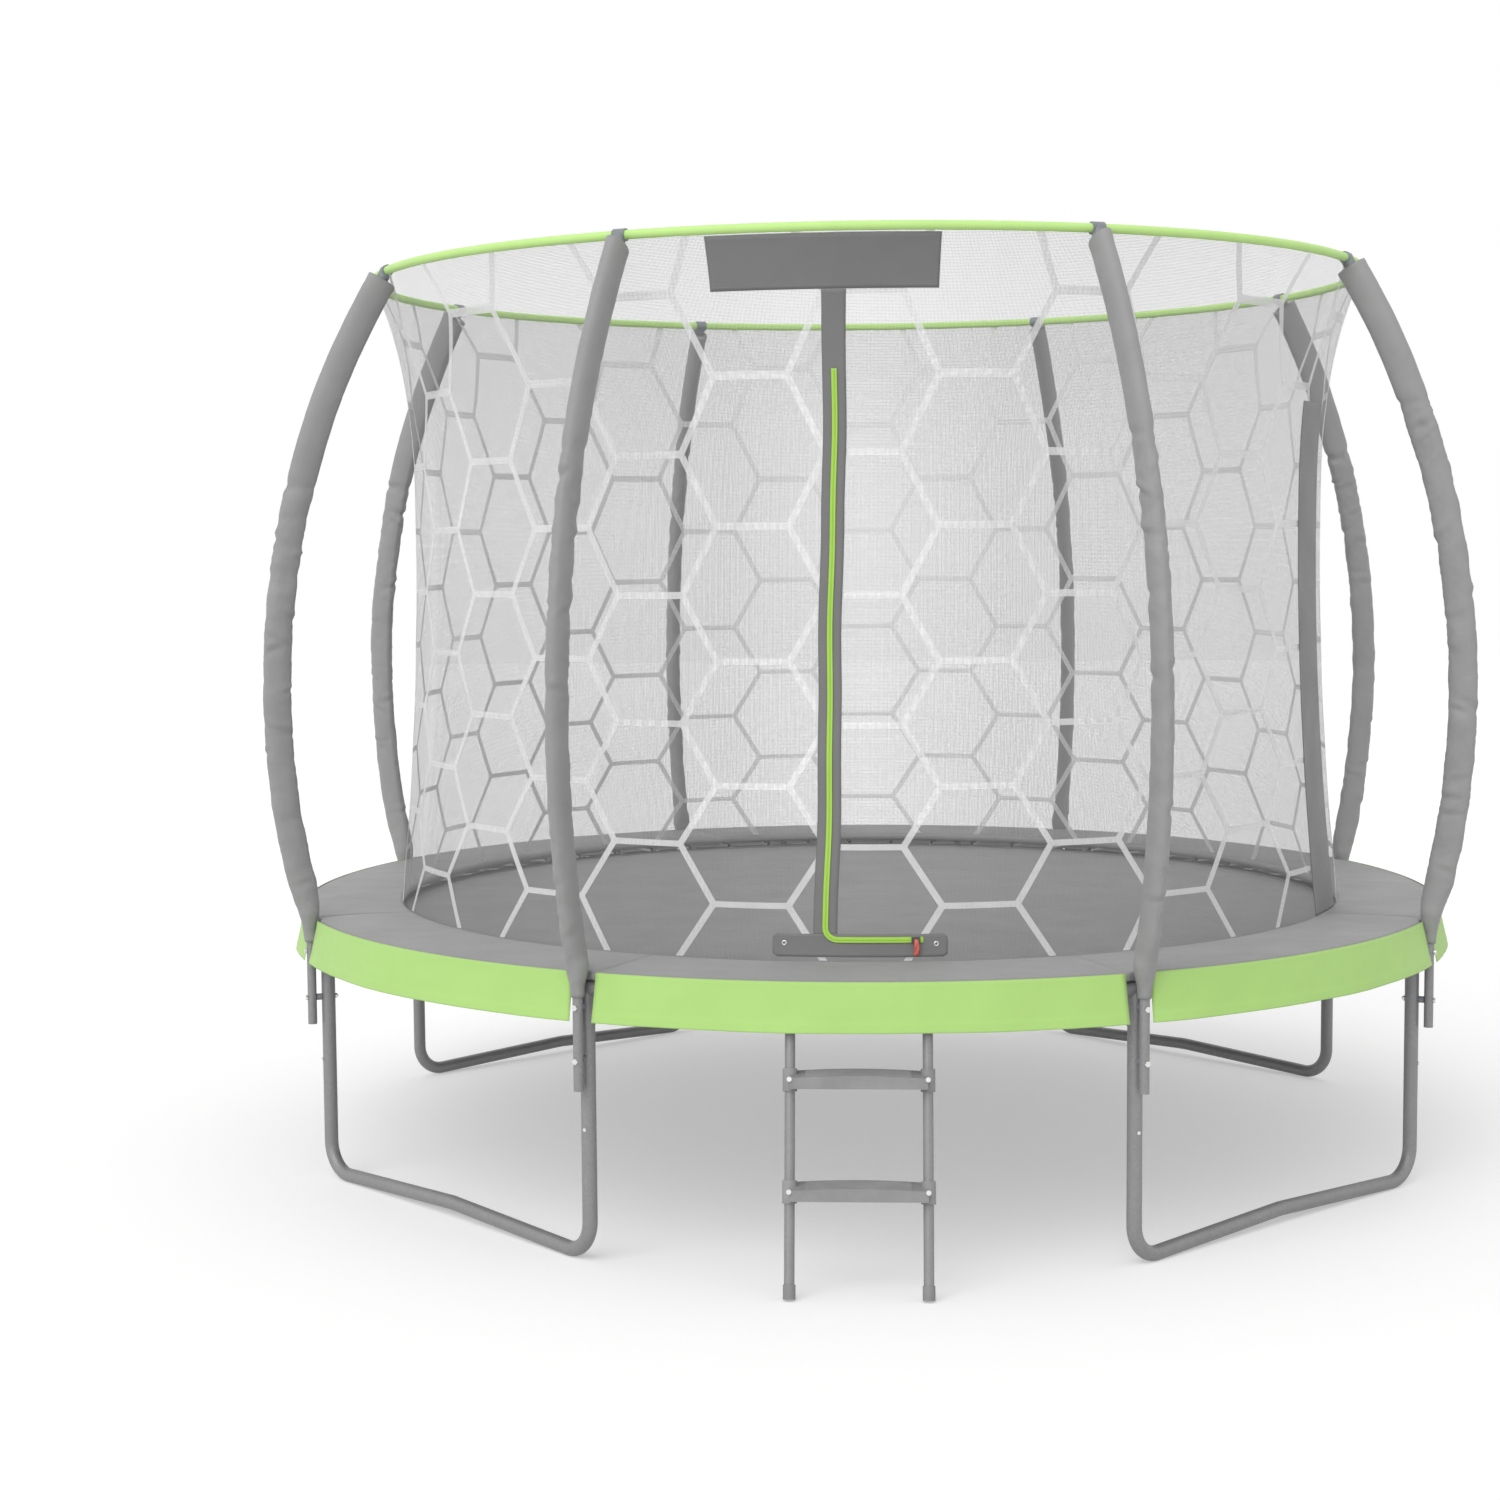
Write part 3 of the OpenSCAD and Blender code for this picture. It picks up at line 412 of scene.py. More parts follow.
def bump(mat, shader, height, distance, strength):
    b = shader_node(mat, "Bump", [("Height", height)], Distance=distance, Strength=strength)
    mat.node_tree.links.new(b.outputs["Normal"], shader.inputs["Normal"])


def place(mat):
    return shader_node(mat, "TexCoord").outputs["Object"]


def noise(mat, where, scale, detail, **more):
    cloud = shader_node(mat, "TexNoise", [("Vector", where)], Scale=scale, Detail=detail, **more)
    return cloud.outputs["Fac"]


def combine(mat, operation, first, second):
    """One value from two, such as their product or the larger one."""
    return shader_node(mat, "Math", [(0, first), (1, second)], operation=operation).outputs[0]


def thread_waves(mat, pitch, distortion, directions):
    """Rows of thread across the UV map, one for each direction, that many metres apart."""
    uv = shader_node(mat, "UVMap", uv_map="cloth").outputs["UV"]
    return [shader_node(mat, "TexWave", [("Vector", uv)], wave_type="BANDS", bands_direction=d,
                        Scale=math.pi / (10 * pitch), Distortion=distortion, Detail=1.0).outputs["Fac"]
            for d in directions]


# %% [markdown]
# ### Metal
# The frame, legs and poles are steel tubes with a dull zinc coat, which has pale crystals and fine
# streaks. A flat grey would look like plastic. Voronoi cells times a slow noise give the crystals,
# and one fine noise gives both the grain and the uneven gloss.
# %% Metal finishes
def metal(name, code, roughness, spangle, streak, metallic=0.85):
    """Zinc or cast metal. Spangle and streak are how fine its crystals and its grain are."""
    mat, shader = new_finish(name, roughness, metallic=metallic)
    where = place(mat)
    crystals = shader_node(mat, "TexVoronoi", [("Vector", where)], Scale=spangle).outputs["Color"]
    both = combine(mat, "MULTIPLY", crystals, noise(mat, where, 9.0, 4.0))
    two_tone(mat, shader, ramp(mat, both, 0.08, 0.55), code, 0.94, 1.05)
    grain = noise(mat, where, streak, 6.0, Roughness=0.7)
    uneven_roughness(mat, shader, grain, roughness - 0.09, roughness + 0.12)
    bump(mat, shader, grain, 0.0003, 0.15)
    return mat


zinc_tube = metal("zinc_coated_tube", "959595", 0.46, 160.0, 420.0, metallic=0.30)
pole_zinc = metal("zinc_coated_pole", "959595", 0.48, 190.0, 420.0, metallic=0.30)
bright_zinc = metal("bright_zinc_screw", "e2e2e2", 0.24, 900.0, 1500.0)
spring_zinc = metal("zinc_spring_wire", "b4b4b4", 0.30, 700.0, 1200.0)
cast_metal = metal("dark_cast_zip_metal", "6a6a6c", 0.38, 800.0, 1400.0)
rod_finish = metal("fibre_rod_and_ferrule", "c4c4bc", 0.45, 300.0, 600.0)


# %% [markdown]
# ### Moulded plastic
# The caps, spacers, treads and feet are moulded plastic, a little uneven in tone and gloss, with a
# fine grain from the mould. Scratches could be drawn too, but they wouldn't show at this distance,
# so noise is enough.
# %% Plastic finishes
def plastic(name, code, roughness):
    """Moulded plastic with slow changes of tone and a fine grain."""
    mat, shader = new_finish(name, roughness, Specular_IOR_Level=0.45)
    where = place(mat)
    cloud = noise(mat, where, 14.0, 5.0)
    two_tone(mat, shader, ramp(mat, cloud, 0.35, 0.68), code, 0.90, 1.10)
    uneven_roughness(mat, shader, cloud, roughness - 0.06, roughness + 0.1)
    bump(mat, shader, noise(mat, where, 900.0, 3.0), 0.0003, 0.4)
    return mat


cap_plastic = plastic("moulded_cap_plastic", "8a8f94", 0.45)
tread_plastic = plastic("moulded_tread_plastic", "979797", 0.50)
foot_plastic = plastic("moulded_foot_plastic", "8d8d8d", 0.55)


# %% [markdown]
# ### Woven and coated cloth
# The sleeves, pad, skirt, mat, tapes and webbing are all woven. Modelled threads would be far too
# many. Two rows of waves across the UV map, multiplied, make a weave whose threads keep their real
# distance, and a slow noise makes its tone and gloss uneven where the cloth has rubbed.
# %% Cloth finishes
def cloth(name, code, weave=0.0012, roughness=0.62, vary=0.10, sheen=0.15, rub_scale=6.0):
    """Woven cloth. Weave is the distance between threads in metres, along the UV map."""
    mat, shader = new_finish(name, roughness, Sheen_Weight=sheen, Sheen_Roughness=0.5,
                             Specular_IOR_Level=0.35)
    woven = combine(mat, "MULTIPLY", *thread_waves(mat, weave, 0.6, ("X", "Y")))
    rubbed = noise(mat, place(mat), rub_scale, 6.0, Roughness=0.62)
    worn = ramp(mat, combine(mat, "ADD", woven, rubbed), 0.35, 1.15)
    two_tone(mat, shader, worn, code, 1 - vary, 1 + vary)
    uneven_roughness(mat, shader, rubbed, roughness + 0.08, roughness - 0.08)
    bump(mat, shader, woven, weave * 0.25, 0.5)
    return mat


sleeve_cloth = cloth("coated_sleeve_cloth", "9c9c9c", 0.0010, 0.50, 0.09, 0.10, 9.0)
pad_cloth = cloth("coated_pad_cloth", "969696", 0.0012, 0.55, 0.07)
band_cloth = cloth("dark_band_cloth", "7f7f7f", 0.0010, 0.60, 0.08)
skirt_cloth = cloth("light_green_skirt_cloth", "b4de80", 0.0011, 0.58, 0.04)
ring_cloth = cloth("light_green_ring_cloth", "caf394", 0.0010, 0.60, 0.06)
mat_cloth = cloth("woven_jumping_cloth", "949494", 0.0020, 0.62, 0.07)
webbing = cloth("dark_webbing", "808080", 0.0016, 0.65, 0.10)
tape_cloth = cloth("green_zip_tape", "b4e35c", 0.0008, 0.62, 0.06)
pull_cloth = cloth("red_ribbon", "e07060", 0.0008, 0.60, 0.08)
thread_finish = cloth("pale_sewing_thread", "b8b8b8", 0.0006, 0.55, 0.06)


# %% [markdown]
# ### The net's finish
# A safety net is a knitted mesh with open holes. Seen from a few metres it is a grey veil. The mesh
# is drawn as alpha: threads about 3 mm apart are opaque, and the holes between them are open, so it
# still reads as a mesh up close. Modelling each thread would take millions of faces.
# %% Net finish
def mesh_cloth(name, code, pitch, open_below):
    """Knitted mesh. Pitch is the distance between its threads. Where their waves are lower than
    open_below, it is a hole."""
    mat, shader = new_finish(name, 0.75, Sheen_Weight=0.1)
    level, upright, slanted = thread_waves(mat, pitch, 1.5, ("X", "Y", "DIAGONAL"))
    two_tone(mat, shader, ramp(mat, noise(mat, place(mat), 3.0, 3.0), 0.3, 0.7), code, 0.92, 1.06)
    thickest = combine(mat, "MAXIMUM", level, upright)
    edge = shader_node(mat, "Math", [(0, thickest)], operation="GREATER_THAN")
    edge.inputs[1].default_value = open_below
    mat.node_tree.links.new(edge.outputs[0], shader.inputs["Alpha"])
    bump(mat, shader, slanted, pitch * 0.2, 0.3)
    return mat


comb_yarn = mesh_cloth("pale_comb_yarn", "fbfbfb", 0.0026, 0.70)
net_cloth = mesh_cloth("knitted_net", "909090", 0.0034, 0.980)


# %% [markdown]
# ## Finishes on the CAD pieces
# The tubes, screws, bolts, caps and rods are right as they are, so they keep their CAD meshes. Only
# their finish is set. Assigning a material doesn't move a node or change its mesh.
# %% Finish the CAD nodes
def finish_nodes(finish, *names):
    for n in names:
        nodes[n].data.materials.clear()
        nodes[n].data.materials.append(finish)


def numbered(stem, count):
    return [f"{stem}_{i + 1}" for i in range(count)]


finish_nodes(zinc_tube, *numbered("frame_rail", 8), *numbered("leg_base", 4), *numbered("leg_post", 8),
             "ladder_rails", "ladder_hooks")
finish_nodes(pole_zinc, *numbered("net_pole", 8))
finish_nodes(bright_zinc, "tube_screws", "pole_bolts", "ladder_rivets")
finish_nodes(cap_plastic, "pole_spacers", "pole_caps")
finish_nodes(rod_finish, "ring_rods")
finish_nodes(foot_plastic, "ladder_feet")
finish_nodes(cast_metal, "zip_slider")


def dress(piece, finish, body="frame", stands_for=()):
    """Finish, slot, body and replaced nodes of a new piece, in one place."""
    piece.data.materials.clear()
    piece.data.materials.append(finish)
    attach(piece, body)
    if stands_for:
        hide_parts(*stands_for)
    return piece


# %% [markdown]
# ## The padded pole sleeves
# Each net pole wears a foam tube inside a loose coated-cloth sleeve. The sleeve comes in two
# lengths: the upper one is pulled smooth, and the lower one bunches and creases below the joint. It
# narrows at its foot, where it slips past the edge of the pad. A cloth simulation on a tube of foam
# gives creases that look much the same all along, so the creases are placed one by one here: a few
# deep slanted ones and some slow ripples.
# %% The pole's line
SLEEVE_BOTTOM = 0.673
SLEEVE_JOINTS = (2.04, 2.16, 2.06, 2.00, 2.10, 1.98, 1.95, 2.02)    # height of each sleeve's own joint
SLEEVE_SHY = 0.026                         # from the sleeve's upper end to the middle of the ring
SLEEVE_SIDES, SLEEVE_CREASES = 44, 24      # points round a sleeve, and sharp creases along it
SLEEVE_GIRTH = 0.19
CAP_BARREL = 0.0178


def pole_line(step=0.008):
    """Radius, height and lean (towards +X outwards) along a pole from its sleeve's foot to its cap."""
    out = [(POLE_FOOT, z, 0.0) for z in np.arange(SLEEVE_BOTTOM, POLE_FOOT_TOP, step)]
    for a in np.arange(0, FOOT_LEAN, step / POLE_BEND):
        out.append((POLE_FOOT + POLE_BEND * (1 - math.cos(a)), POLE_FOOT_TOP + POLE_BEND * math.sin(a), a))
    for a in np.arange(-FOOT_LEAN, TOP_LEAN - SLEEVE_SHY / POLE_ARC, step / POLE_ARC):
        out.append((POLE_ARC_X + POLE_ARC * math.cos(a), POLE_ARC_Z + POLE_ARC * math.sin(a), -a))
    return np.array(out)


POLE_LINE = pole_line()
POLE_RUN = run_along(POLE_LINE[:, :2])
print("sleeve length", round(POLE_RUN[-1], 3), "m")


# %% [markdown]
# ### One sleeve's creases
# Seen close, a sleeve is a soft tube with a seam and a rolled edge at each end. The lower length
# bunches where it meets the upper one, and slanted creases run below. Sculpting would shape one
# sleeve, but there are eight and each must differ. So every sleeve adds the same kinds of hump, at
# places of its own.
# %% One sleeve
def sleeve_section(k):
    """How far a sleeve stands out from its pole, outwards and across, all along it."""
    rng = np.random.default_rng(40 + k)
    s, turn = POLE_RUN[:, None], turns(SLEEVE_SIDES)[None, :]
    z = POLE_LINE[:, 1][:, None]
    deep = np.interp(s, (0, 0.030, 0.060, 0.085, 0.120, 0.170),
                     (0.0160, 0.0195, 0.0245, 0.0290, 0.0340, 0.0385))
    wide = np.interp(s, (0, 0.030, 0.055, 0.082, 0.115, 0.170),
                     (0.0155, 0.0178, 0.0245, 0.0300, 0.0250, 0.0215))
    joint = SLEEVE_JOINTS[k]
    upper = step_down(joint - z, 0.004)
    loose = (1 - upper) * (0.75 + 0.45 * hump(z - joint + 0.15, 0.25))
    girth = 0.03 * turn
    # Slow and fine waves, and an upper length that is a little fuller.
    swell = 0.0017 * ripples(s, girth, 0.085, 7 * k + 1) * (0.30 + loose)
    swell = swell + 0.0008 * ripples(s, girth, 0.028, 7 * k + 2) * (0.2 + loose) + 0.0020 * upper
    # Slanted creases, each with a fold beside it.
    for _ in range(SLEEVE_CREASES):
        where, side = rng.uniform(0.10, POLE_RUN[-1] - 0.25), rng.uniform(0, 2 * np.pi)
        depth, slant, width = rng.uniform(1.5, 4.6), rng.uniform(-0.024, 0.024), rng.uniform(0.005, 0.012)
        gap = turn_gap(turn, side)
        reach = hump(gap, rng.uniform(0.6, 1.3))
        beside = s - where - slant * gap
        swell = swell + 0.001 * depth * reach * (0.25 + loose) * (
            0.6 * hump(beside - 1.8 * width, width) - hump(beside, width))
    # The bunched end of the lower length, the rolled and stitched ends, and the long seam.
    bunch = hump(z - joint + 0.014 + 0.010 * np.cos(turn + k), 0.009)
    swell = swell - 0.0034 * bunch * (0.7 + 0.6 * ripples(s * 0, girth, 0.05, k + 90))
    for end in (0, POLE_RUN[-1]):
        swell = swell + 0.0008 * hump(s - end, 0.018, 4) - 0.0009 * hump(s - abs(end - 0.02), 0.002)
    swell = swell + 0.0016 * hump(turn_gap(turn, 2.5), 0.10)
    square = 1 / (np.abs(np.cos(turn)) ** 2.2 + np.abs(np.sin(turn)) ** 2.2) ** (1 / 2.2)
    out = (deep * square + swell) * np.cos(turn)
    across = (wide * square + swell) * np.sin(turn)
    sag = 0.0015 * ripples(s, 0 * turn, 0.6, k + 60) * np.clip(s / 0.2, 0, 1)
    return out + sag, across


def sleeve_piece(k):
    x, z, lean = POLE_LINE.T
    out, across = sleeve_section(k)
    turn = turns(SLEEVE_SIDES)
    cap_from = POLE_RUN[-1] - (CAP_LENGTH - SLEEVE_SHY) - 0.010
    rows = [(i, out[i], across[i]) for i in range(len(x))]
    for i in [len(x) - 1, *range(len(x) - 2, 0, -3), 0]:             # back down inside, along the pole
        bore = CAP_BARREL if POLE_RUN[i] > cap_from else POLE_TUBE + 0.0005
        rows.append((i, bore * np.cos(turn), bore * np.sin(turn)))
    grid = []
    for i, o, a in rows:
        r = x[i] + o * math.cos(lean[i])
        grid.append(np.stack([r, a, z[i] - o * math.sin(lean[i])], -1))
    a = math.radians(STATIONS[k] - 90)
    to_station = np.array([[math.cos(a), math.sin(a), 0], [-math.sin(a), math.cos(a), 0], [0, 0, 1]])
    run = [POLE_RUN[i] for i, _, _ in rows] + [0]
    piece = grid_piece(f"padded_sleeve_{k + 1}", np.array(grid) @ to_station, run,
                       np.linspace(0, SLEEVE_GIRTH, SLEEVE_SIDES + 1), wrap_u=True, wrap_v=True, flip=True)
    dress(piece, sleeve_cloth, stands_for=[f"pole_sleeve_{k + 1}"])
    return piece


sleeves = [sleeve_piece(k) for k in range(8)]
print("sleeves:", len(sleeves), "with", sum(len(s.data.polygons) for s in sleeves), "faces")

# %% [markdown]
# ## The top ring
# The fibre rods of the ring run inside a green foam sleeve, which puckers a little at its seam and
# is cut away at the caps. A torus with gathers does it: the gathers are small waves along the ring
# that are strongest at the seam on the inner side.
# %% Ring sleeve
def ring_piece():
    around_n, side_n = 1440, 20
    a = np.linspace(0, 360, around_n, endpoint=False)[:, None]
    t = turns(side_n)[None, :]
    run = np.radians(a) * RING_R
    pucker = 0.0005 * ripples(run, 0.01 * t, 0.035, 5) + 0.0003 * np.cos(run * 2 * np.pi / 0.012)
    r = RING_TUBE + 0.0008 + pucker * (0.5 + 0.5 * np.cos(t - np.pi)) ** 0.5
    r = r - 0.0016 * hump(turn_gap(t, np.pi), 0.16)
    points = around(a, RING_R + r * np.cos(t), RING_Z + r * np.sin(t))
    piece = grid_piece("ring_sleeve_cloth", points, np.linspace(0, 2 * np.pi * RING_R, around_n + 1),
                       np.linspace(0, 2 * np.pi * RING_TUBE, side_n + 1), wrap_u=True, wrap_v=True)
    dress(piece, ring_cloth, stands_for=["ring_sleeve"])
    return piece


ring_sleeve = ring_piece()

# %% [markdown]
# ## The net
# The net hangs inside the poles from the ring to the pad's inner edge. Its own tension pulls it
# into a waist. One grid from foot to ring follows that outline, with faint upright gathers. The
# pieces that are sewn on it use the same outline, a little further out.
# %% The net's outline
NET_FOOT, NET_TOP = net_low.z, RING_Z - 0.006
NET_FOOT_R, NET_WAIST_R = PAD_IN + 0.004, 1.334
NET_WAIST_Z = NET_FOOT + 0.59 * (net_high.z - NET_FOOT)
NET_MEAN_R = 1.4                           # lengths round the net are counted at this radius


def net_run(angle):
    return np.radians(angle) * NET_MEAN_R


def net_outline(z):
    """The net's radius at a height: it narrows from its foot to its waist and widens to the ring."""
    z = np.asarray(z, float)
    low = np.clip((NET_WAIST_Z - z) / (NET_WAIST_Z - NET_FOOT), 0, 1)
    high = np.clip((z - NET_WAIST_Z) / (net_high.z - NET_WAIST_Z), 0, 1.02)
    return NET_WAIST_R + (NET_FOOT_R - NET_WAIST_R) * low**2 + (RING_R - NET_WAIST_R) * high**3


def net_gathers(angle, z):
    """Upright gathers, deepest where the net is sewn to the ring and pad. They fade out at the back."""
    share = (np.asarray(z) - NET_FOOT) / (NET_TOP - NET_FOOT)
    ends = np.exp(-((1 - share) / 0.12)) + 0.6 * np.exp(-(share / 0.06))
    from_front = (np.asarray(angle) + 180) % 360 - 180
    run, fade = net_run(from_front), np.clip((180 - abs(from_front)) / 6, 0, 1)
    small, large = ripples(run, z * 0.15, 0.09, 11), ripples(run, z * 0.3, 0.5, 12)
    return fade * (0.0016 * small * ends + 0.0020 * large)


def net_points(angle, z, off=0.0):
    return around(angle, net_outline(z) + net_gathers(angle, z) + off, z)


# %% Net
NET_ANGLES = 540                           # points round the net
net_angles = np.linspace(0, 360, NET_ANGLES, endpoint=False)
net_zs = np.linspace(NET_FOOT, NET_TOP, 84)
net_grid = net_points(net_angles[:, None], net_zs[None, :])
net = grid_piece("safety_net", net_grid, np.linspace(0, 2 * np.pi * NET_MEAN_R, NET_ANGLES + 1), net_zs,
                 wrap_u=True)
dress(thicken(net, 0.0009), net_cloth, stands_for=["net"])
print("net faces:", len(net.data.polygons))

# %% [markdown]
# ## The honeycomb
# A pale honeycomb runs all round the net. It is knitted in, so it shows from both sides. It is real
# geometry here: bands 17 mm wide that meet in three-way joints. The pattern is first laid out flat,
# on a strip as long as the net is round, cut to the net's height, and then wrapped onto the
# outline. Thirty columns close the pattern without a seam.
# %% Honeycomb layout
COMB_COLUMNS = 30
COMB_BAND = 0.0170
COMB_R = 1.36                              # radius at which the flat strip is as long as the net is round
COMB_SIDE = 2 * math.pi * COMB_R / COMB_COLUMNS / 1.5
COMB_HALF = 0.163                          # half the height of a flat cell
COMB_TURN = 360 / COMB_COLUMNS             # degrees from one column to the next
COMB_SIDE_TURN = COMB_TURN / 1.5           # degrees along a level side of a cell


def comb_joints(rows):
    """Middle of every level edge on the flat strip. Row 0 is the highest row in the photograph."""
    for c in range(COMB_COLUMNS):
        for r in rows:
            yield c, 2 * r + c % 2, (c * 1.5 * COMB_SIDE, -(2 * r + c % 2) * COMB_HALF)


def comb_ends(rows):
    """Corner points and triangles of every three-way joint, and where each joint's bands leave it."""
    slant = math.atan2(COMB_HALF, -COMB_SIDE / 2)
    verts, faces, ends = [], [], {}
    for c, row, (x, y) in comb_joints(rows):
        for side, px, level in (("L", x - COMB_SIDE / 2, 0.0), ("R", x + COMB_SIDE / 2, math.pi)):
            rays = sorted(a % (2 * math.pi) for a in (level, level + slant, level - slant))
            corners = []
            for i, a in enumerate(rays):
                b = rays[(i + 1) % 3] + (2 * math.pi if i == 2 else 0)
                reach = COMB_BAND / 2 / math.sin((b - a) / 2)
                corners.append(len(verts))
                verts.append((px + reach * math.cos((a + b) / 2), y + reach * math.sin((a + b) / 2)))
            faces.append(corners)
            ends[(c, row, side)] = (rays, corners)
    return verts, faces, ends


# %% Honeycomb bands between the joints
def side_corners(end, heading):
    """The two corners of a joint between which the band that leaves in that direction lies."""
    rays, corners = end
    i = min(range(3), key=lambda n: abs(turn_gap(rays[n], heading)))
    return corners[i - 1], corners[i]


def comb_mesh(rows, pieces=12):
    """The flat honeycomb: its joints, and bands of that many pieces between them."""
    verts, faces, ends = comb_ends(rows)
    width = COMB_COLUMNS * 1.5 * COMB_SIDE
    for (c, row, side), end in ends.items():
        if side == "L":
            links = [((c, row, "R"), 0.0, 0)]
        else:
            links = [(((c + 1) % COMB_COLUMNS, row + step, "L"),
                      math.atan2(-step * COMB_HALF, COMB_SIDE / 2), c + 1 == COMB_COLUMNS)
                     for step in (-1, 1)]
        for key, heading, wraps in links:
            if key not in ends:
                continue
            right_a, left_a = side_corners(end, heading)
            left_b, right_b = side_corners(ends[key], heading + math.pi)
            shift = width if wraps else 0.0
            band = []
            for t in range(pieces + 1):
                f = t / pieces
                pair = []
                for a, b in ((left_a, left_b), (right_a, right_b)):
                    if t == 0:
                        pair.append(a)
                    elif t == pieces and not wraps:
                        pair.append(b)
                    else:
                        pair.append(len(verts))
                        verts.append((verts[a][0] * (1 - f) + (verts[b][0] + shift) * f,
                                      verts[a][1] * (1 - f) + verts[b][1] * f))
                band.append(pair)
            faces += [[a[1], b[1], b[0], a[0]] for a, b in zip(band, band[1:])]
    return np.array(verts), faces, width


# %% Honeycomb on the net
def on_net(x, y):
    """Angle and height of the place on the net's near side behind a pixel of the photograph."""
    p = on_surface(net, x, y)
    return math.degrees(math.atan2(p.x, -p.y)), p.z


COMB_ROWS = range(-3, 8)                   # enough to reach past the net's top and foot


def comb_piece(angle, height_of_row):
    """Wraps the flat honeycomb round the net, with a left joint of an even column at that angle."""
    verts, faces, width = comb_mesh(COMB_ROWS)
    bm = bmesh.new()
    vs = [bm.verts.new((x, height_of_row(-y / COMB_HALF), 0)) for x, y in verts]
    for f in faces:
        bm.faces.new([vs[i] for i in f])
    for height, normal in ((NET_FOOT + 0.002, (0, -1, 0)), (RING_Z - 0.010, (0, 1, 0))):
        bmesh.ops.bisect_plane(bm, geom=bm.verts[:] + bm.edges[:] + bm.faces[:], plane_co=(0, height, 0),
                               plane_no=normal, clear_outer=True)
    uv = bm.loops.layers.uv.new("cloth")
    for f in bm.faces:
        for loop in f.loops:
            loop[uv].uv = loop.vert.co.xy
    flat = np.array([v.co[:2] for v in bm.verts])
    angles = angle + (flat[:, 0] + COMB_SIDE / 2) / width * 360
    for v, p in zip(bm.verts, net_points(angles, flat[:, 1])):
        v.co = p
    bmesh.ops.remove_doubles(bm, verts=bm.verts[:], dist=0.0004)
    bmesh.ops.recalc_face_normals(bm, faces=bm.faces[:])
    return thicken(piece_from_bmesh("net_honeycomb", bm), 0.0012)


# %% [markdown]
# ### Where the honeycomb sits
# The rows aren't quite evenly spaced in the photograph. A smooth curve through the heights of five
# marked rows places all of them, and three marked corners give the angle at which the pattern
# starts. Each row could be moved by hand instead, but that would break the regular knit.
# %% Honeycomb by its points
COMB_JOINTS = {                            # row and column of the joint that each point marks
    "comb_row_0": (0, -2),
    "comb_row_4": (4, 0),
    "comb_row_7": (7, -1),
    "comb_row_9": (9, -1),
    "comb_corner_low": (2, -2),
    "comb_corner_side": (2, 0),
    "comb_corner_foot": (8, -2),
}


def joint_turn(column):
    """Degrees from the pattern's start to the right-hand joints of a column."""
    return COMB_TURN * column + COMB_SIDE_TURN


ROW_POINTS = ("comb_row_0", "comb_corner_low", "comb_row_4", "comb_row_7", "comb_row_9")
comb_heights = [on_net(*POINTS[p])[1] for p in ROW_POINTS]
row_fit = np.polyfit([COMB_JOINTS[p][0] for p in ROW_POINTS], comb_heights, 3)
comb_starts = [on_net(*POINTS[p])[0] - joint_turn(COMB_JOINTS[p][1])
               for p in ("comb_corner_side", "comb_corner_low", "comb_corner_foot")]
comb_angle = sum(comb_starts) / len(comb_starts)
print("honeycomb rows at", np.round(comb_heights, 3), "starts at", np.round(comb_starts, 2))
honeycomb = comb_piece(comb_angle, lambda row: np.polyval(row_fit, row))
dress(honeycomb, comb_yarn)

# %% [markdown]
# ## Trims sewn on the net
# A wide bare banner hangs under the ring at the front. A dark strip closes the net on the right,
# and another backs the zip of the door. The zip tape is an L: it comes down the door and turns
# along its foot. All of them are cut on the net's own outline, a little outside it, with folded
# hems and rows of stitches.
# %% Stitches and hemmed cloth
def stitches(name, points, outward, length=0.0045, thick=0.0005):
    """A row of sewing thread: a small raised dash at every other step along the points."""
    p, n = np.asarray(points, float), np.asarray(outward, float)
    ahead = np.gradient(p, axis=0)
    ahead /= np.linalg.norm(ahead, axis=1)[:, None]
    side = np.cross(ahead, n)
    shape = np.array([(-1, 0, 0), (-0.6, 1, 0), (-0.6, 0, 1), (-0.6, -1, 0), (0.6, 1, 0), (0.6, 0, 1),
                      (0.6, -1, 0), (1, 0, 0)]) * [length / 2, thick, 2 * thick]
    faces = np.array([(0, 2, 1), (0, 3, 2), (1, 2, 5), (1, 5, 4), (2, 3, 6), (2, 6, 5), (4, 5, 7),
                      (5, 6, 7), (0, 1, 4), (0, 4, 7), (0, 7, 6), (0, 6, 3)])
    verts = (p[:, None] + shape[None, :, :1] * ahead[:, None] + shape[None, :, 1:2] * side[:, None]
             + shape[None, :, 2:] * n[:, None])
    all_faces = faces[None] + len(shape) * np.arange(len(p))[:, None, None]
    return add_piece(name, verts, all_faces.reshape(-1, 3), np.tile([0.0, 0.0], (all_faces.size, 1)))


def net_row(angles, zs, off, step=0.008):
    """Points and outward directions along a line on the net, a stitch apart."""
    steps = max(4, int(max(np.ptp(zs), net_run(np.ptp(angles))) / step))
    t = np.linspace(0, 1, steps)
    a = np.interp(t, np.linspace(0, 1, len(angles)), angles)
    z = np.interp(t, np.linspace(0, 1, len(zs)), zs)
    return net_points(a, z, off), around(a, 1.0, 0.0)


def hang(z):
    """How many degrees the door's edge has crept sideways at a height: it leans and waves a little."""
    z = np.asarray(z, float)
    return 0.75 * (z - 1.5) + 0.10 * np.sin(z * 7) + 0.04 * np.sin(z * 19)


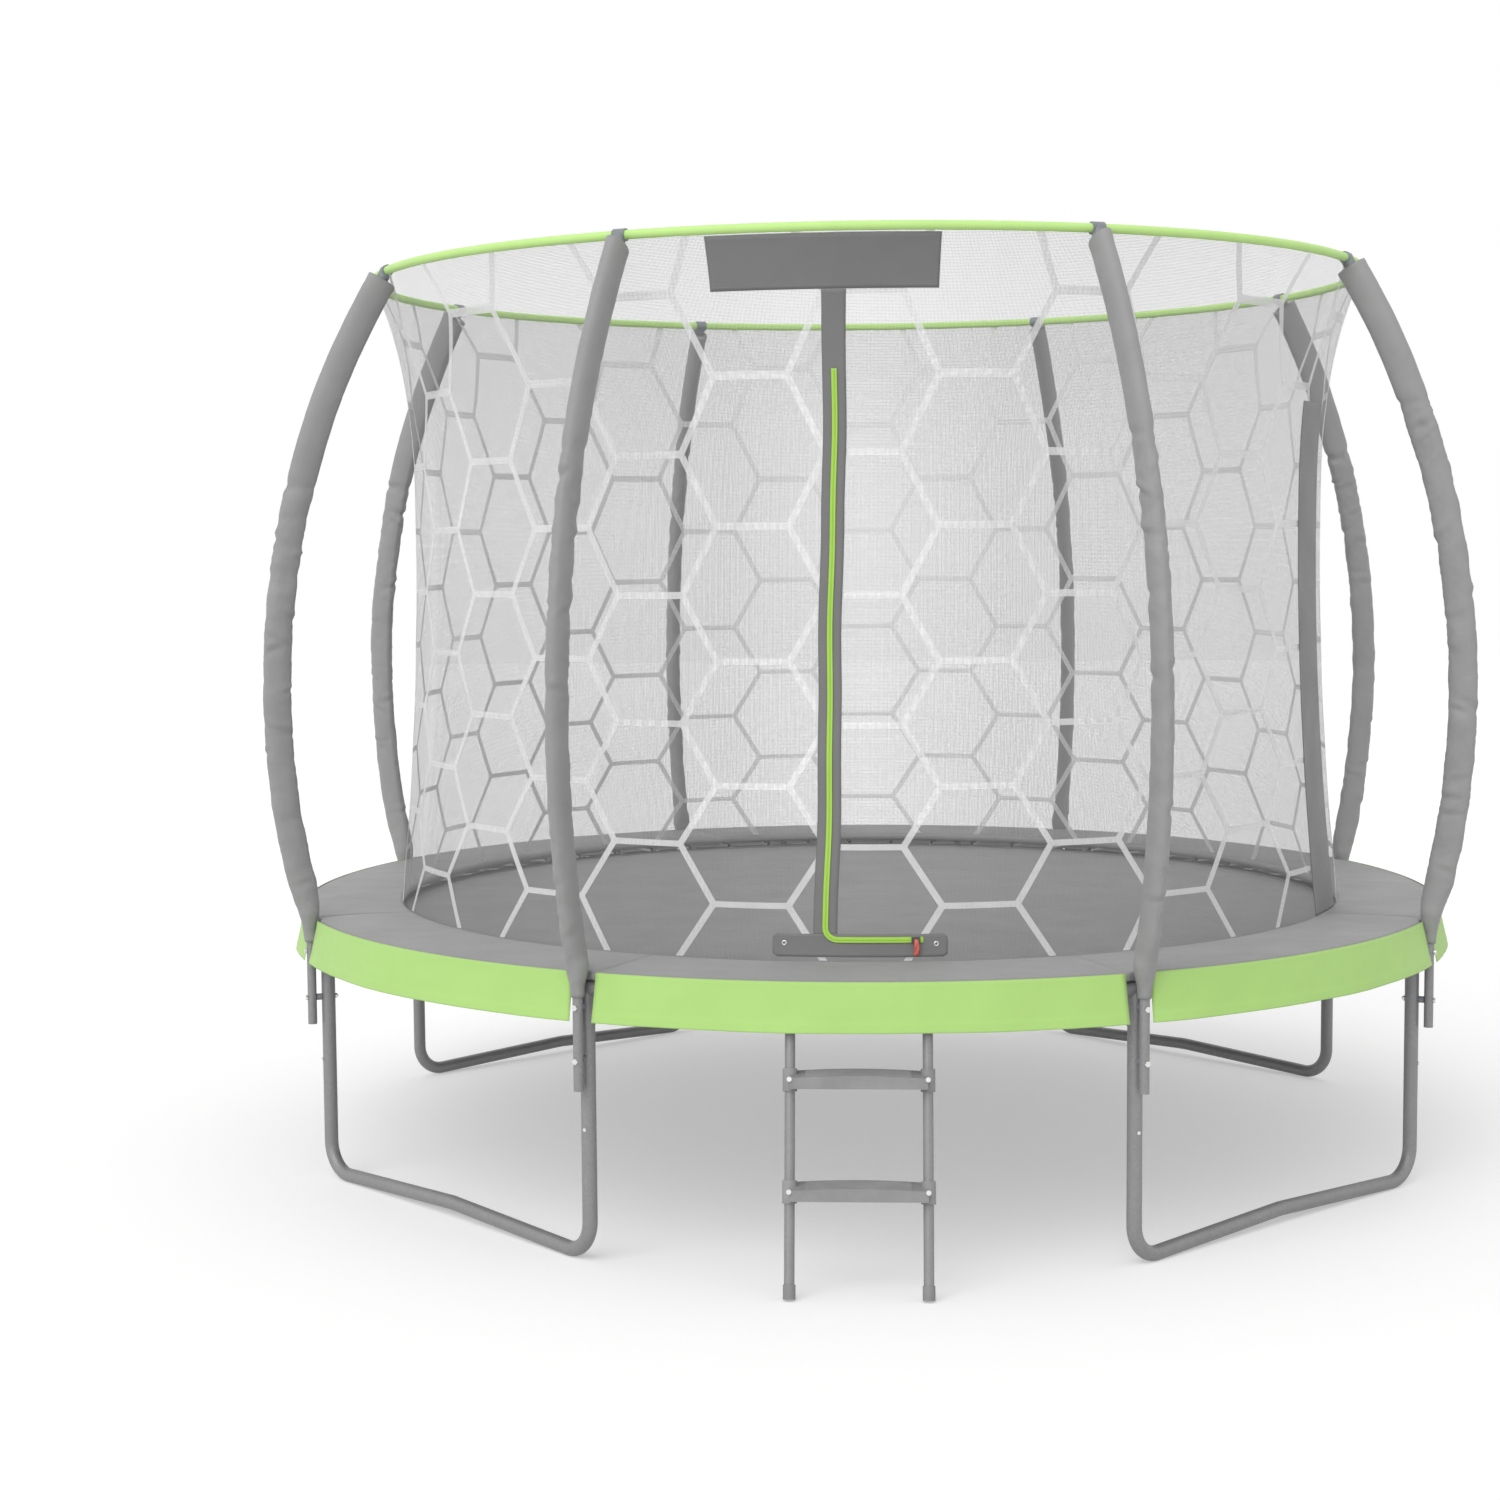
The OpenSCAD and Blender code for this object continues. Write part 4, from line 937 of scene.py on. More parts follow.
def hemmed(name, low, high, start, end, off, hem, seed, wave=0.0012, step=0.009, creep=0.0):
    """Cloth on the net whose folded edge is thicker, with a slow wave of its own."""
    zs = np.linspace(low, high, max(3, int((high - low) / step) + 1))
    angles = np.linspace(start, end, max(3, int(net_run(end - start) / step) + 1))
    a, z = angles[:, None], zs[None, :]
    to_edge = np.minimum(np.minimum(z - low, high - z), net_run(np.minimum(a - start, end - a)))
    fold = 0.0010 * step_down(to_edge - hem, 0.0012)
    wavy = wave * (1 + ripples(net_run(a), z, 0.16, seed)) * np.clip(to_edge / 0.02, 0, 1)
    grid = net_points(a + creep * hang(z), z, off + fold + wavy)
    return thicken(grid_piece(name, grid, net_run(angles), zs), 0.0010)


# %% [markdown]
# ### The banner and the side strip
# Both are plain dark cloth with a folded hem and a row of stitches inside it, and they are left
# bare. A plane could be shrinkwrapped onto the net, but its hem would lose the fold's thickness. So
# they are cut from the net's own outline, with a small step at the hem.
# %% Banner and side strip
TRIM_OFF = 0.0020
TRIM_TOP = net_high.z - 0.004
BANNER_ANGLES, BANNER_LOW, BANNER_R = (-15.0, 8.2), RING_Z - 0.145, 1.42
SIDE_ANGLE, SIDE_HALF = 67.5, degrees_along(0.105, NET_WAIST_R)

banner = hemmed("net_banner", BANNER_LOW, TRIM_TOP, *BANNER_ANGLES, TRIM_OFF, 0.012, 21)
dress(banner, band_cloth, stands_for=["banner"])
SIDE_TOP = PAD_TOP + 1.415
side_strip = hemmed("net_side_strip_cloth", NET_FOOT + 0.002, SIDE_TOP, SIDE_ANGLE - SIDE_HALF,
                    SIDE_ANGLE + SIDE_HALF, TRIM_OFF, 0.010, 22)
dress(side_strip, band_cloth, stands_for=["net_side_strip"])

STITCH_INSET = 0.009                       # from a trim's edge to its row of stitches
inset_turn = degrees_along(STITCH_INSET, 1.38)
trim_rows = []
for low, high, start, end in ((BANNER_LOW, TRIM_TOP, *BANNER_ANGLES),
                              (NET_FOOT, SIDE_TOP, SIDE_ANGLE - SIDE_HALF, SIDE_ANGLE + SIDE_HALF)):
    low, high, start, end = low + STITCH_INSET, high - STITCH_INSET, start + inset_turn, end - inset_turn
    for angles, zs in (((start, start), (low, high)), ((end, end), (low, high)),
                       ((start, end), (low, low)), ((start, end), (high, high))):
        trim_rows.append(stitches("row", *net_row(angles, zs, TRIM_OFF + 0.0014)))
trim_stitches = dress(join("trim_stitches", trim_rows), thread_finish)
print("trims:", len(banner.data.polygons), len(side_strip.data.polygons), len(trim_stitches.data.polygons))

# %% [markdown]
# ### The door strip and the band at its foot
# The zip is sewn to a dark strip that runs from the banner down to a band under the door. A
# straight strip would look stiff, so this one creeps a little sideways with its height. The band is
# one flat piece with rounded corners. It carries the lower run of the zip and two eyelets.
# %% Door strip and foot band
DOOR_ANGLE, DOOR_HALF = -3.0, degrees_along(0.029, NET_WAIST_R)
ZIP_RUN_Z = PAD_TOP + 0.055
BAND_LOW, BAND_HIGH, BAND_HALF, BAND_R = NET_FOOT + 0.012, ZIP_RUN_Z + 0.014, 9.0, 1.39
door_strip = hemmed("door_strip_cloth", BAND_HIGH - 0.004, BANNER_LOW - 0.001, DOOR_ANGLE - DOOR_HALF,
                    DOOR_ANGLE + DOOR_HALF, TRIM_OFF, 0.006, 23, wave=0.0006, creep=1.0)
dress(door_strip, band_cloth, stands_for=["door_strip"])


def foot_band():
    """The band under the door: a long strip with rounded corners."""
    rows = np.linspace(BAND_LOW, BAND_HIGH, 9)
    tall, middle_z = BAND_HIGH - BAND_LOW, (BAND_LOW + BAND_HIGH) / 2
    corner = tall * 0.20
    past_corner = np.maximum(0, np.abs(rows - middle_z) - (tall / 2 - corner))
    reach = math.radians(BAND_HALF) * BAND_R - corner + np.sqrt(np.maximum(corner**2 - past_corner**2, 0))
    share = np.linspace(-1, 1, 60)[:, None]
    angles = np.degrees(share * reach[None, :] / BAND_R)
    edge = np.minimum(rows - BAND_LOW, BAND_HIGH - rows)[None, :]
    lift = 0.0010 * step_down(np.minimum(edge, (1 - abs(share)) * 0.2) - 0.006, 0.001)
    grid = net_points(angles, rows[None, :], TRIM_OFF + 0.0004 + lift)
    return thicken(grid_piece("door_foot_band", grid, share[:, 0] * 0.22, rows), 0.0010)


door_band = dress(foot_band(), band_cloth)

# %% [markdown]
# ### The zip
# The zip's tape is an L that comes down the door and turns along its foot, with teeth down its
# middle. An array of teeth along a curve could do it, but that curve would have to follow the
# leaning door. Here the line is written once, as lengths round the net and heights, and the tape
# and the teeth are all laid along it.
# %% The zip's line
ZIP_TOP, ZIP_END, ZIP_TURN = PAD_TOP + 1.465, 6.5, 0.030      # its ends, and the radius of its corner
ZIP_HALF = 0.007                                              # half the tape's width
zip_r = float(net_outline(ZIP_RUN_Z))


def zip_line(step=0.004):
    """Lengths round the net and heights along the zip, down the door and round its corner."""
    x0, x1 = math.radians(DOOR_ANGLE) * zip_r, math.radians(ZIP_END) * zip_r
    down = [(x0, z) for z in np.arange(ZIP_TOP, ZIP_RUN_Z + ZIP_TURN, -step)]
    bend = [(x0 + ZIP_TURN * (1 - math.cos(t)), ZIP_RUN_Z + ZIP_TURN * (1 - math.sin(t)))
            for t in np.linspace(0, math.pi / 2, 20)]
    along = [(x, ZIP_RUN_Z) for x in np.arange(x0 + ZIP_TURN + step, x1, step)]
    return np.array(down + bend + along)


zip_path = zip_line()
zip_run = run_along(zip_path)
zip_ahead = np.gradient(zip_path, axis=0)
zip_ahead /= np.linalg.norm(zip_ahead, axis=1)[:, None]
zip_side = np.stack([-zip_ahead[:, 1], zip_ahead[:, 0]], 1)
creep = hang(zip_path[:, 1]) * np.clip(1 - (zip_path[:, 0] - zip_path[0, 0]) / 0.2, 0, 1)
print("zip", round(zip_run[-1], 3), "m")

# %% Zip tape
across = np.linspace(-ZIP_HALF, ZIP_HALF, 9)
flat = zip_path[:, None] + across[None, :, None] * zip_side[:, None]
raised = TRIM_OFF + 0.0034 + 0.0004 * np.cos(across / ZIP_HALF * math.pi * 2)[None, :]
tape_grid = net_points(np.degrees(flat[..., 0] / zip_r) + creep[:, None], flat[..., 1], raised)
zip_tape = thicken(grid_piece("zip_tape_cloth", tape_grid, zip_run, across, flip=True), 0.0009)
dress(zip_tape, tape_cloth, stands_for=["zip_tape"])

# %% Zip teeth
TOOTH_STEP, TOOTH_OFF = 0.0030, 0.0011     # between teeth, and from the zip's middle to each row
tooth_at = np.arange(0.004, zip_run[-1] - 0.004, TOOTH_STEP)
tooth_x, tooth_z, side_x, side_z, tooth_creep = (
    np.interp(tooth_at, zip_run, values) for values in (*zip_path.T, *zip_side.T, creep))
tooth_rows = []
for off in (-TOOTH_OFF, TOOTH_OFF):
    a, z = np.degrees((tooth_x + off * side_x) / zip_r) + tooth_creep, tooth_z + off * side_z
    middles = net_points(a, z, TRIM_OFF + 0.0040)
    tooth_rows.append(stitches("row", middles, around(a, 1.0, 0.0), 0.0022, 0.0008))
zip_teeth = dress(join("zip_teeth", tooth_rows), tape_cloth)
print("zip teeth on a side:", len(tooth_at))


# %% [markdown]
# ### The eyelets
# Two pressed metal eyelets sit at the ends of the band. A torus comes close, but a real eyelet is
# nearly flat on top, with a collar that turns into its hole. Six points of its section, turned
# round its middle, give that.
# %% Eyelets
def eyelet(name, x, y):
    """A pressed metal eyelet on the band: a rolled rim round a small hole."""
    centre = on_surface(door_band, x, y)
    out = Vector((centre.x, centre.y, 0)).normalized()
    facing = np.array(out.to_track_quat("Z", "Y").to_matrix())
    rim = [(0.0030, -0.0006), (0.0032, 0.0010), (0.0042, 0.0017), (0.0058, 0.0016), (0.0068, 0.0008),
           (0.0070, -0.0002)]                                 # radius and height of its section
    rings = np.array([[(r * math.cos(a), r * math.sin(a), h) for r, h in rim] for a in turns(28)])
    return grid_piece(name, rings @ facing.T + np.array(centre), np.linspace(0, 0.04, 29),
                      np.linspace(0, 0.01, len(rim)), wrap_u=True)


eyelets = []
for side in ("left", "right"):
    e = eyelet(f"door_eyelet_{side}", *POINTS[f"eyelet_{side}"])
    eyelets.append(dress(thicken(e, 0.0005), bright_zinc))

# %% [markdown]
# ### The ribbon pull
# A short red ribbon is folded through the slider's bar and hangs in front of the band. A cloth
# simulation could let it hang, but the pull also swings, so it keeps one shape that the joint can
# turn. One strip goes down the back, folds at its end and comes up the front, slightly curled.
# %% Ribbon pull
pull_low, pull_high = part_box("zip_pull")
pull_mid, pull_top = (pull_low + pull_high) / 2, pull_high.z - 0.001
pull_angle = math.degrees(math.atan2(pull_mid.x, -pull_mid.y))
pull_r = math.hypot(pull_mid.x, pull_mid.y)
pull_length = pull_top - pull_low.z
PULL_WIDTH = 0.0115


def ribbon_pull():
    """A folded ribbon: it goes down the back, turns at its end and comes up the front to the bar."""
    t = np.linspace(0, 1, 40)
    share = np.where(t < 0.5, 2 * t, 2 - 2 * t) ** 0.9        # how far down it is, of its own length
    gap = 0.0026 * np.sin(np.clip(share, 0, 1) * math.pi) ** 0.6 + 0.0013
    out = np.where(t < 0.5, -gap, gap) + 0.0016 * np.sin(share * 4.5)
    v = np.linspace(-0.5, 0.5, 9)[None, :]
    drop = (share * pull_length)[:, None]
    narrow = 0.72 + 0.28 * np.clip(drop / 0.012, 0, 1)
    side = v * PULL_WIDTH * narrow + 0.0018 * np.sin(share * 3)[:, None]
    r = pull_r + out[:, None] + 0.0009 * np.sin(v * 5 + 9 * share[:, None])
    grid = around(pull_angle + np.degrees(side / pull_r), r, pull_top - drop)
    return thicken(grid_piece("zip_pull_ribbon", grid, t * 2 * pull_length, v[0] * PULL_WIDTH), 0.0010)


zip_pull = dress(ribbon_pull(), pull_cloth, body="zip_pull", stands_for=["zip_pull"])

# %% [markdown]
# ## The mat and its springs
# The mat is a woven disc under even pull, so it is flat apart from faint ripples. Its edge is
# folded into a thick hem with rows of stitches. Sixty-four wire triangles hang in it, and a spring
# joins each one to the frame. Each spring is its own mesh, laid along its own direction.
# %% Mat
SPRINGS = 64
SPRING_ANGLES = (np.arange(SPRINGS) + 0.5) * 360 / SPRINGS
HEM_IN = MAT_R - 0.045
MAT_ANGLES = 512                           # points round the mat


def mat_piece():
    rs = np.concatenate([[0.004], np.linspace(0.04, HEM_IN, 36), np.linspace(HEM_IN + 0.002, MAT_R, 12)])
    a, r = np.linspace(0, 360, MAT_ANGLES, endpoint=False)[:, None], rs[None, :]
    x, y = r * np.sin(np.radians(a)), r * np.cos(np.radians(a))
    between = np.cos(np.radians(a) * SPRINGS)                 # -1 at each spring and 1 between two
    pull = 0.0005 * between * np.clip((r - 1.1) / 0.3, 0, 1) ** 2
    height = MAT_Z + 0.0008 * ripples(x, y, 0.7, 31) + pull
    scallop = 0.0012 * (1 + between) * (r > MAT_R - 0.003)
    grid = around(a, r - scallop, height)
    piece = grid_piece("jumping_mat", grid, np.zeros(MAT_ANGLES + 1), np.zeros(len(rs)), wrap_u=True)
    bm = bmesh.new()
    bm.from_mesh(piece.data)
    bmesh.ops.holes_fill(bm, edges=[e for e in bm.edges if e.is_boundary and e.verts[0].co.xy.length < 0.1])
    uv = bm.loops.layers.uv["cloth"]
    for f in bm.faces:
        for loop in f.loops:
            loop[uv].uv = loop.vert.co.xy
    bm.to_mesh(piece.data)
    bm.free()
    return thicken(piece, 0.0025)


jumping_mat = dress(mat_piece(), mat_cloth, body="mat", stands_for=["mat"])


# %% [markdown]
# ### The mat's hem
# The mat's edge is a band of webbing, folded and sewn with three rows of thread. A thicker edge on
# the mat alone would show no fold, so the hem is a band of its own with stitches on top. Both ride
# on the mat.
# %% Mat hem and its stitches
hem_low, hem_high, HEM_ANGLES = MAT_Z - 0.0036, MAT_Z + 0.0036, 1024


def mat_hem_band():
    """A flat folded band that runs round the mat: a closed loop in section."""
    r_out, bevel = MAT_R - 0.0002, 0.001
    rs = np.array([HEM_IN, HEM_IN + bevel, (HEM_IN + r_out) / 2, r_out - bevel, r_out])
    inset = np.array([bevel, 0, 0, 0, bevel])
    r, z = np.concatenate([rs, rs[::-1]]), np.concatenate([hem_high - inset, hem_low + inset])
    a = np.linspace(0, 360, HEM_ANGLES, endpoint=False)[:, None]
    swell = 0.0002 * ripples(np.radians(a) * r_out, z * 0, 0.09, 33)
    return grid_piece("mat_hem_webbing", around(a, r[None, :], z[None, :] + swell),
                      np.linspace(0, 2 * math.pi * r_out, HEM_ANGLES + 1),
                      np.linspace(0, 0.10, len(r) + 1), wrap_u=True, wrap_v=True)


def up(count):
    """As many upward directions, for stitches on a level piece."""
    return np.tile([0, 0, 1.0], (count, 1))


mat_hem = dress(mat_hem_band(), webbing, body="mat")
stitch_angles = np.linspace(0, 360, 900, endpoint=False)
hem_rows = [stitches("row", around(stitch_angles, r, hem_high), up(len(stitch_angles)), 0.0055, 0.0006)
            for r in (HEM_IN + 0.006, HEM_IN + 0.022, MAT_R - 0.016)]
hem_stitches = dress(join("mat_stitches", hem_rows), thread_finish, body="mat")


# %% [markdown]
# ### The wire triangles
# Each spring hooks into a ring of bent wire that is held in the hem. A curve with bevelled corners
# could make it. Here the corners are rounded in numbers, so that the wire keeps its thickness and
# closes without a seam.
# %% Wire triangles in the hem
def rounded_loop(corners, radius, per=5):
    """A closed polygon with round corners, as points of a wire's middle."""
    out = []
    for i, c in enumerate(corners):
        a, b = corners[i - 1] - c, corners[(i + 1) % len(corners)] - c
        a, b = a / np.linalg.norm(a), b / np.linalg.norm(b)
        half = math.acos(np.clip(a @ b, -1, 1)) / 2
        start, end = c + a * radius / math.tan(half), c + b * radius / math.tan(half)
        out += [(1 - t) ** 2 * start + 2 * t * (1 - t) * c + t**2 * end for t in np.linspace(0, 1, per)]
    return np.array(out)


def turned(points, angle):
    """Points of (radial, tangential, height) set at an angle round the trampoline."""
    s, c = math.sin(math.radians(angle)), math.cos(math.radians(angle))
    p = np.asarray(points, float)
    return np.stack([p[..., 0] * s + p[..., 1] * c, -p[..., 0] * c + p[..., 1] * s, p[..., 2]], -1)


RING_TIP, RING_BASE, RING_WIRE = MAT_R + 0.042, MAT_R - 0.010, 0.0019
BASE_HALF, TIP_HALF = 0.019, 0.0052        # half a triangle's width in the hem and at the spring
triangle = rounded_loop(np.array([(RING_BASE + RING_WIRE, -BASE_HALF, FRAME_Z),
                                  (RING_TIP - RING_WIRE, -TIP_HALF, FRAME_Z),
                                  (RING_TIP - RING_WIRE, TIP_HALF, FRAME_Z),
                                  (RING_BASE + RING_WIRE, BASE_HALF, FRAME_Z)]), 0.003)
triangles = [wire("ring", turned(triangle, a), RING_WIRE, 8, closed=True) for a in SPRING_ANGLES]
mat_rings = dress(join("mat_ring_wires", triangles), bright_zinc, body="mat",
                  stands_for=["mat_rings"])

# %% [markdown]
# ### The springs
# A spring is one long wire: a hook round the triangle, a close coil, and an end that is bent down
# into the frame tube. A screw modifier makes a coil, but not its ends.
# %% Springs
COIL_LENGTH = 0.108
COIL_OUT = FRAME_R - FRAME_TUBE - 0.012
COIL_IN = COIL_OUT - COIL_LENGTH
WIRE = 0.0016                              # radius of the spring's wire
COIL_R = 0.009 - WIRE


def spring_path():
    """The middle of one spring's wire: a hook round the triangle, the coil, and an end in the tube."""
    coils = int((COIL_OUT - COIL_IN) / (2 * WIRE + 0.0001))
    t = np.linspace(0, coils * 2 * math.pi, coils * 9 + 1)
    coil = np.stack([COIL_IN + WIRE + (COIL_OUT - COIL_IN - 2 * WIRE) * t / t[-1],
                     COIL_R * np.sin(t), COIL_R * np.cos(t)], 1)
    bar, hook = RING_TIP - RING_WIRE, RING_WIRE + WIRE + 0.0004
    u = np.radians(np.linspace(200, -20, 12))
    hook_path = np.stack([bar + hook * np.cos(u), 0 * u, hook * np.sin(u)], 1)
    neck = np.array([[COIL_IN - 0.006, 0, 0.0005], [COIL_IN - 0.001, 0.001, 0.004]])
    rail = FRAME_R - FRAME_TUBE + 0.006
    tail = np.array([[COIL_OUT + 0.001, 0.001, 0.004], [COIL_OUT + 0.005, 0, 0.0006], [rail - 0.003, 0, 0],
                     [rail, 0, -0.0015], [rail + 0.0005, 0, -0.008]])
    return np.concatenate([hook_path, neck, coil, tail]) + [0, 0, FRAME_Z]


one_spring = spring_path()
springs = []
for i, a in enumerate(SPRING_ANGLES):
    s = wire(f"spring_{i + 1:02d}", turned(one_spring, a), WIRE, 5)
    s.data.materials.append(spring_zinc)
    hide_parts("springs")
    outer, inner = (Vector(around(a, r, FRAME_Z)) for r in (FRAME_R - FRAME_TUBE - 0.004, RING_TIP))
    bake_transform(s)
    springs.append(s)
print("springs:", len(springs), "faces each:", len(springs[0].data.polygons))

# %% [markdown]
# ## The safety pad, its skirt and its straps
# The pad is a ring of foam in coated cloth that covers the springs. Its edges are round, its top is
# a little crowned, and radial seams pull it in. The skirt hangs from its outer edge in eight
# panels, one between each pair of poles. Elastic straps under the pad go round the frame tube.
# %% Pad
PAD_SEAMS, FIRST_SEAM = 8, 22.5


def pad_piece():
    around_n, side_n = 1440, 56
    angles = np.linspace(0, 360, around_n, endpoint=False)[:, None]
    t = turns(side_n)[None, :]
    middle_r, half_w, half_t = (PAD_IN + PAD_OUT) / 2, (PAD_OUT - PAD_IN) / 2, (PAD_TOP - PAD_BOTTOM) / 2
    # The section: x runs from the inner edge (-1) to the outer one (1).
    c, s = np.cos(t), np.sin(t)
    x = np.sign(c) * np.abs(c) ** 0.62
    edge = np.clip(1 - np.abs(x), 0, 1)
    thick = np.minimum(1, (1 - np.clip((np.abs(x) - 0.93) / 0.07, 0, 1) ** 2) ** 0.5)
    # Seams pull the top in, and between them it is crowned and puffed.
    apart = 360 / PAD_SEAMS
    from_seam = np.radians(np.abs((angles - FIRST_SEAM + apart / 2) % apart - apart / 2)) * middle_r
    seam = 0.35 * hump(from_seam, 0.006) + 0.2 * hump(from_seam, 0.03)
    crown = 1 + 0.20 * (1 - x**2) * (1 - seam)
    run = np.radians(angles) * middle_r
    puff = 0.0012 * ripples(run, x * 0.14, 0.22, 41) + 0.0006 * ripples(run, x * 0.14, 0.06, 42)
    top = half_t * thick * crown * (1 - 0.5 * seam) + puff * edge**0.3 * thick
    low = -half_t * thick * (1 - 0.3 * seam)
    z = (PAD_TOP + PAD_BOTTOM) / 2 + np.where(s >= 0, top, low) * np.clip(np.abs(s) / 0.05, 0, 1) ** 0.3
    station = np.min([np.abs((angles - k + 180) % 360 - 180) for k in STATIONS], axis=0)
    lip = np.clip((x - 0.85) / 0.15, 0, 1)
    r = middle_r + half_w * x - 0.0095 * step_down(station - 0.95, 0.05) * lip          # room for the poles
    from_front = np.radians((angles + 180) % 360 - 180) * FRAME_R
    from_hook = np.abs(np.abs(from_front) - LADDER_HALF)
    outside = np.clip((r - FRAME_R + 0.04) / 0.01, 0, 1)
    press = 0.0072 * step_down(from_hook - 0.022, 0.0015) * (s < 0) * outside           # room for the hooks
    points = around(angles, r, z + press * (thick > 0.6))
    return grid_piece("safety_pad_ring", points, np.linspace(0, 2 * np.pi * middle_r, around_n + 1),
                      np.linspace(0, 0.62, side_n + 1), wrap_u=True, wrap_v=True)


safety_pad = dress(pad_piece(), pad_cloth, stands_for=["safety_pad"])
pad_tree = BVHTree.FromObject(safety_pad, bpy.context.evaluated_depsgraph_get())
seam_turn = degrees_along(0.006, 1.53)     # from a seam to the row of stitches on each side of it
seam_rs = np.linspace(PAD_IN + 0.012, PAD_OUT - 0.012, 34)
seam_rows = []
for k in range(PAD_SEAMS):
    for side in (-seam_turn, seam_turn):
        over = around(FIRST_SEAM + k * 360 / PAD_SEAMS + side, seam_rs, PAD_TOP + 0.05)
        line = [pad_tree.ray_cast(Vector(p), Vector((0, 0, -1)))[0] for p in over]
        seam_rows.append(stitches("row", line, up(len(line)), 0.0055, 0.0006))
pad_stitches = dress(join("pad_stitches", seam_rows), thread_finish)


# %% [markdown]
# ### The skirt
# Eight green panels hang from the pad's outer edge, with slits at the poles and a hem at the foot.
# A simulation would give soft folds, but the panels have to keep clear of the poles. So slow waves
# are added to a band that flares a little. The coating is on the outer face only, and the inner
# face is grey.
# %% Skirt
SKIRT_DROP, SKIRT_FLARE = 0.120, 0.025     # its height, and how far its foot stands out


def grey_inside(piece):
    """The cloth is coated green on its outer face only, so the faces turned to the frame are grey."""
    piece.data.materials.append(pad_cloth)
    for face in piece.data.polygons:
        outward = Vector((face.center.x, face.center.y, 0)).normalized()
        face.material_index = int(face.normal.dot(outward) < -0.5)


def skirt_panel(k):
    """One panel. Those over the legs reach close to the poles, and the others stop short of the posts."""
    drop = np.concatenate([np.linspace(0, 0.096, 14), np.linspace(0.0975, SKIRT_DROP, 7)])
    over_leg = np.interp(drop, (0, 0.045, SKIRT_DROP), (0.0262, 0.0205, 0.0175))
    slit = over_leg if k % 2 == 0 else np.full(len(drop), 0.044)
    start, end = STATIONS[k], STATIONS[(k + 1) % 8] + (360 if k == 7 else 0)
    count = int(math.radians(end - start) * PAD_OUT / 0.012)
    share = np.linspace(0, 1, count)
    angles = start + (end - start) * share
    ends = np.degrees(slit / PAD_OUT)[None, :]
    a = start + ends + (end - start - 2 * ends) * share[:, None]
    d = drop[None, :]
    run = np.radians(a) * PAD_OUT
    r = PAD_OUT + 0.0014 + SKIRT_FLARE * (d / SKIRT_DROP)
    loose = np.clip(d / 0.05, 0, 1)
    wave = (0.0026 * ripples(run, 0 * d, 0.33, 50 + k) + 0.0010 * ripples(run, d, 0.09, 70 + k)) * loose
    gather = 0.0007 * np.cos(run * 2 * math.pi / 0.035 + k) * np.exp(-(d / 0.03))
    fold = 0.0008 * (step_down(0.0965 - d, 0.0008) + step_down(d - 0.010, 0.0008))
    z = PAD_TOP - 0.0012 - d + 0.0012 * ripples(run, 0 * d, 0.5, 80 + k) * loose
    piece = grid_piece(f"pad_skirt_{k + 1}", around(a, r + wave + gather + fold, z),
                       np.radians(angles) * PAD_OUT, drop)
    thicken(piece, 0.0014)
    dress(piece, skirt_cloth, stands_for=["pad_skirt"])
    grey_inside(piece)
    return piece


skirt = [skirt_panel(k) for k in range(8)]
print("skirt panels:", len(skirt), "pad faces:", len(safety_pad.data.polygons))

# %% [markdown]
# ### The straps
# Sixteen elastic loops hold the pad to the frame, and they show from below. Each could be a solid
# band round the tube, but elastic is a flat strip: it goes down from the pad, round under the tube
# and up again.
# %% Straps under the pad
STRAPS = 16
STRAP_ANGLES = [round((i + 0.5) * SPRINGS / STRAPS) * 360 / SPRINGS for i in range(STRAPS)]


def strap_piece(name, angle):
    """A loop of elastic: down from the pad, round under the frame tube, and up again."""
    reach = FRAME_TUBE + 0.0012
    top = PAD_BOTTOM + 0.001
    u = np.radians(np.linspace(-8, 188, 27))
    loop = [(FRAME_R + reach * math.cos(t), FRAME_Z - reach * math.sin(t)) for t in u]
    path = [(FRAME_R + reach + 0.0008, top)] + loop + [(FRAME_R - reach - 0.0008, top)]
    v = np.linspace(-0.011, 0.011, 7)
    grid = np.array([[(r, w, z) for w in v] for r, z in path])
    lengths = run_along(path)
    return grid_piece(name, turned(grid, angle), lengths, v), lengths[-1]


loops = [strap_piece(f"strap_{i + 1}", a) for i, a in enumerate(STRAP_ANGLES)]
straps = thicken(join("pad_strap_loops", [p for p, _ in loops]), 0.0012)
dress(straps, webbing, stands_for=["pad_straps"])

# %% [markdown]
# ## The ladder's treads
# The treads are moulded plastic with rows of small grip ribs on top, so that wet feet don't slip.
# They keep their CAD shape. Bump could draw the ribs, but then the treads' edges would stay smooth,
# so each rib is a thin wire that is laid on the tread. The ribs ride on the ladder, so they swing
# with it.
# %% Grip ribs
TREAD_TOPS = (0.245, 0.505)                # a little under each tread's top
TREAD_RIBS, RIB_ROOM, RIB_HALF = 8, 0.034, 0.128


def tread_ribs():
    """Small rounded ribs along both treads, laid on whatever the tread's top is there."""
    tree = BVHTree.FromObject(nodes["ladder_treads"], bpy.context.evaluated_depsgraph_get())
    rows = []
    for z in TREAD_TOPS:
        for y in ladder_y(z) + np.linspace(-RIB_ROOM, RIB_ROOM, TREAD_RIBS):
            over = [Vector((x, y, z + 0.055)) for x in np.linspace(-RIB_HALF, RIB_HALF, 33)]
            hits = [tree.ray_cast(start, Vector((0, 0, -1)), 0.12)[0] for start in over]
            line = np.array([h for h in hits if h is not None])
            if len(line) > 8:
                rows.append(wire("rib", line + [0, 0, 0.0003], 0.0013, 6))
    return join("tread_grip_ribs", rows)


grip_ribs = dress(tread_ribs(), tread_plastic, body="ladder")
finish_nodes(tread_plastic, "ladder_treads")
print("rib faces:", len(grip_ribs.data.polygons))

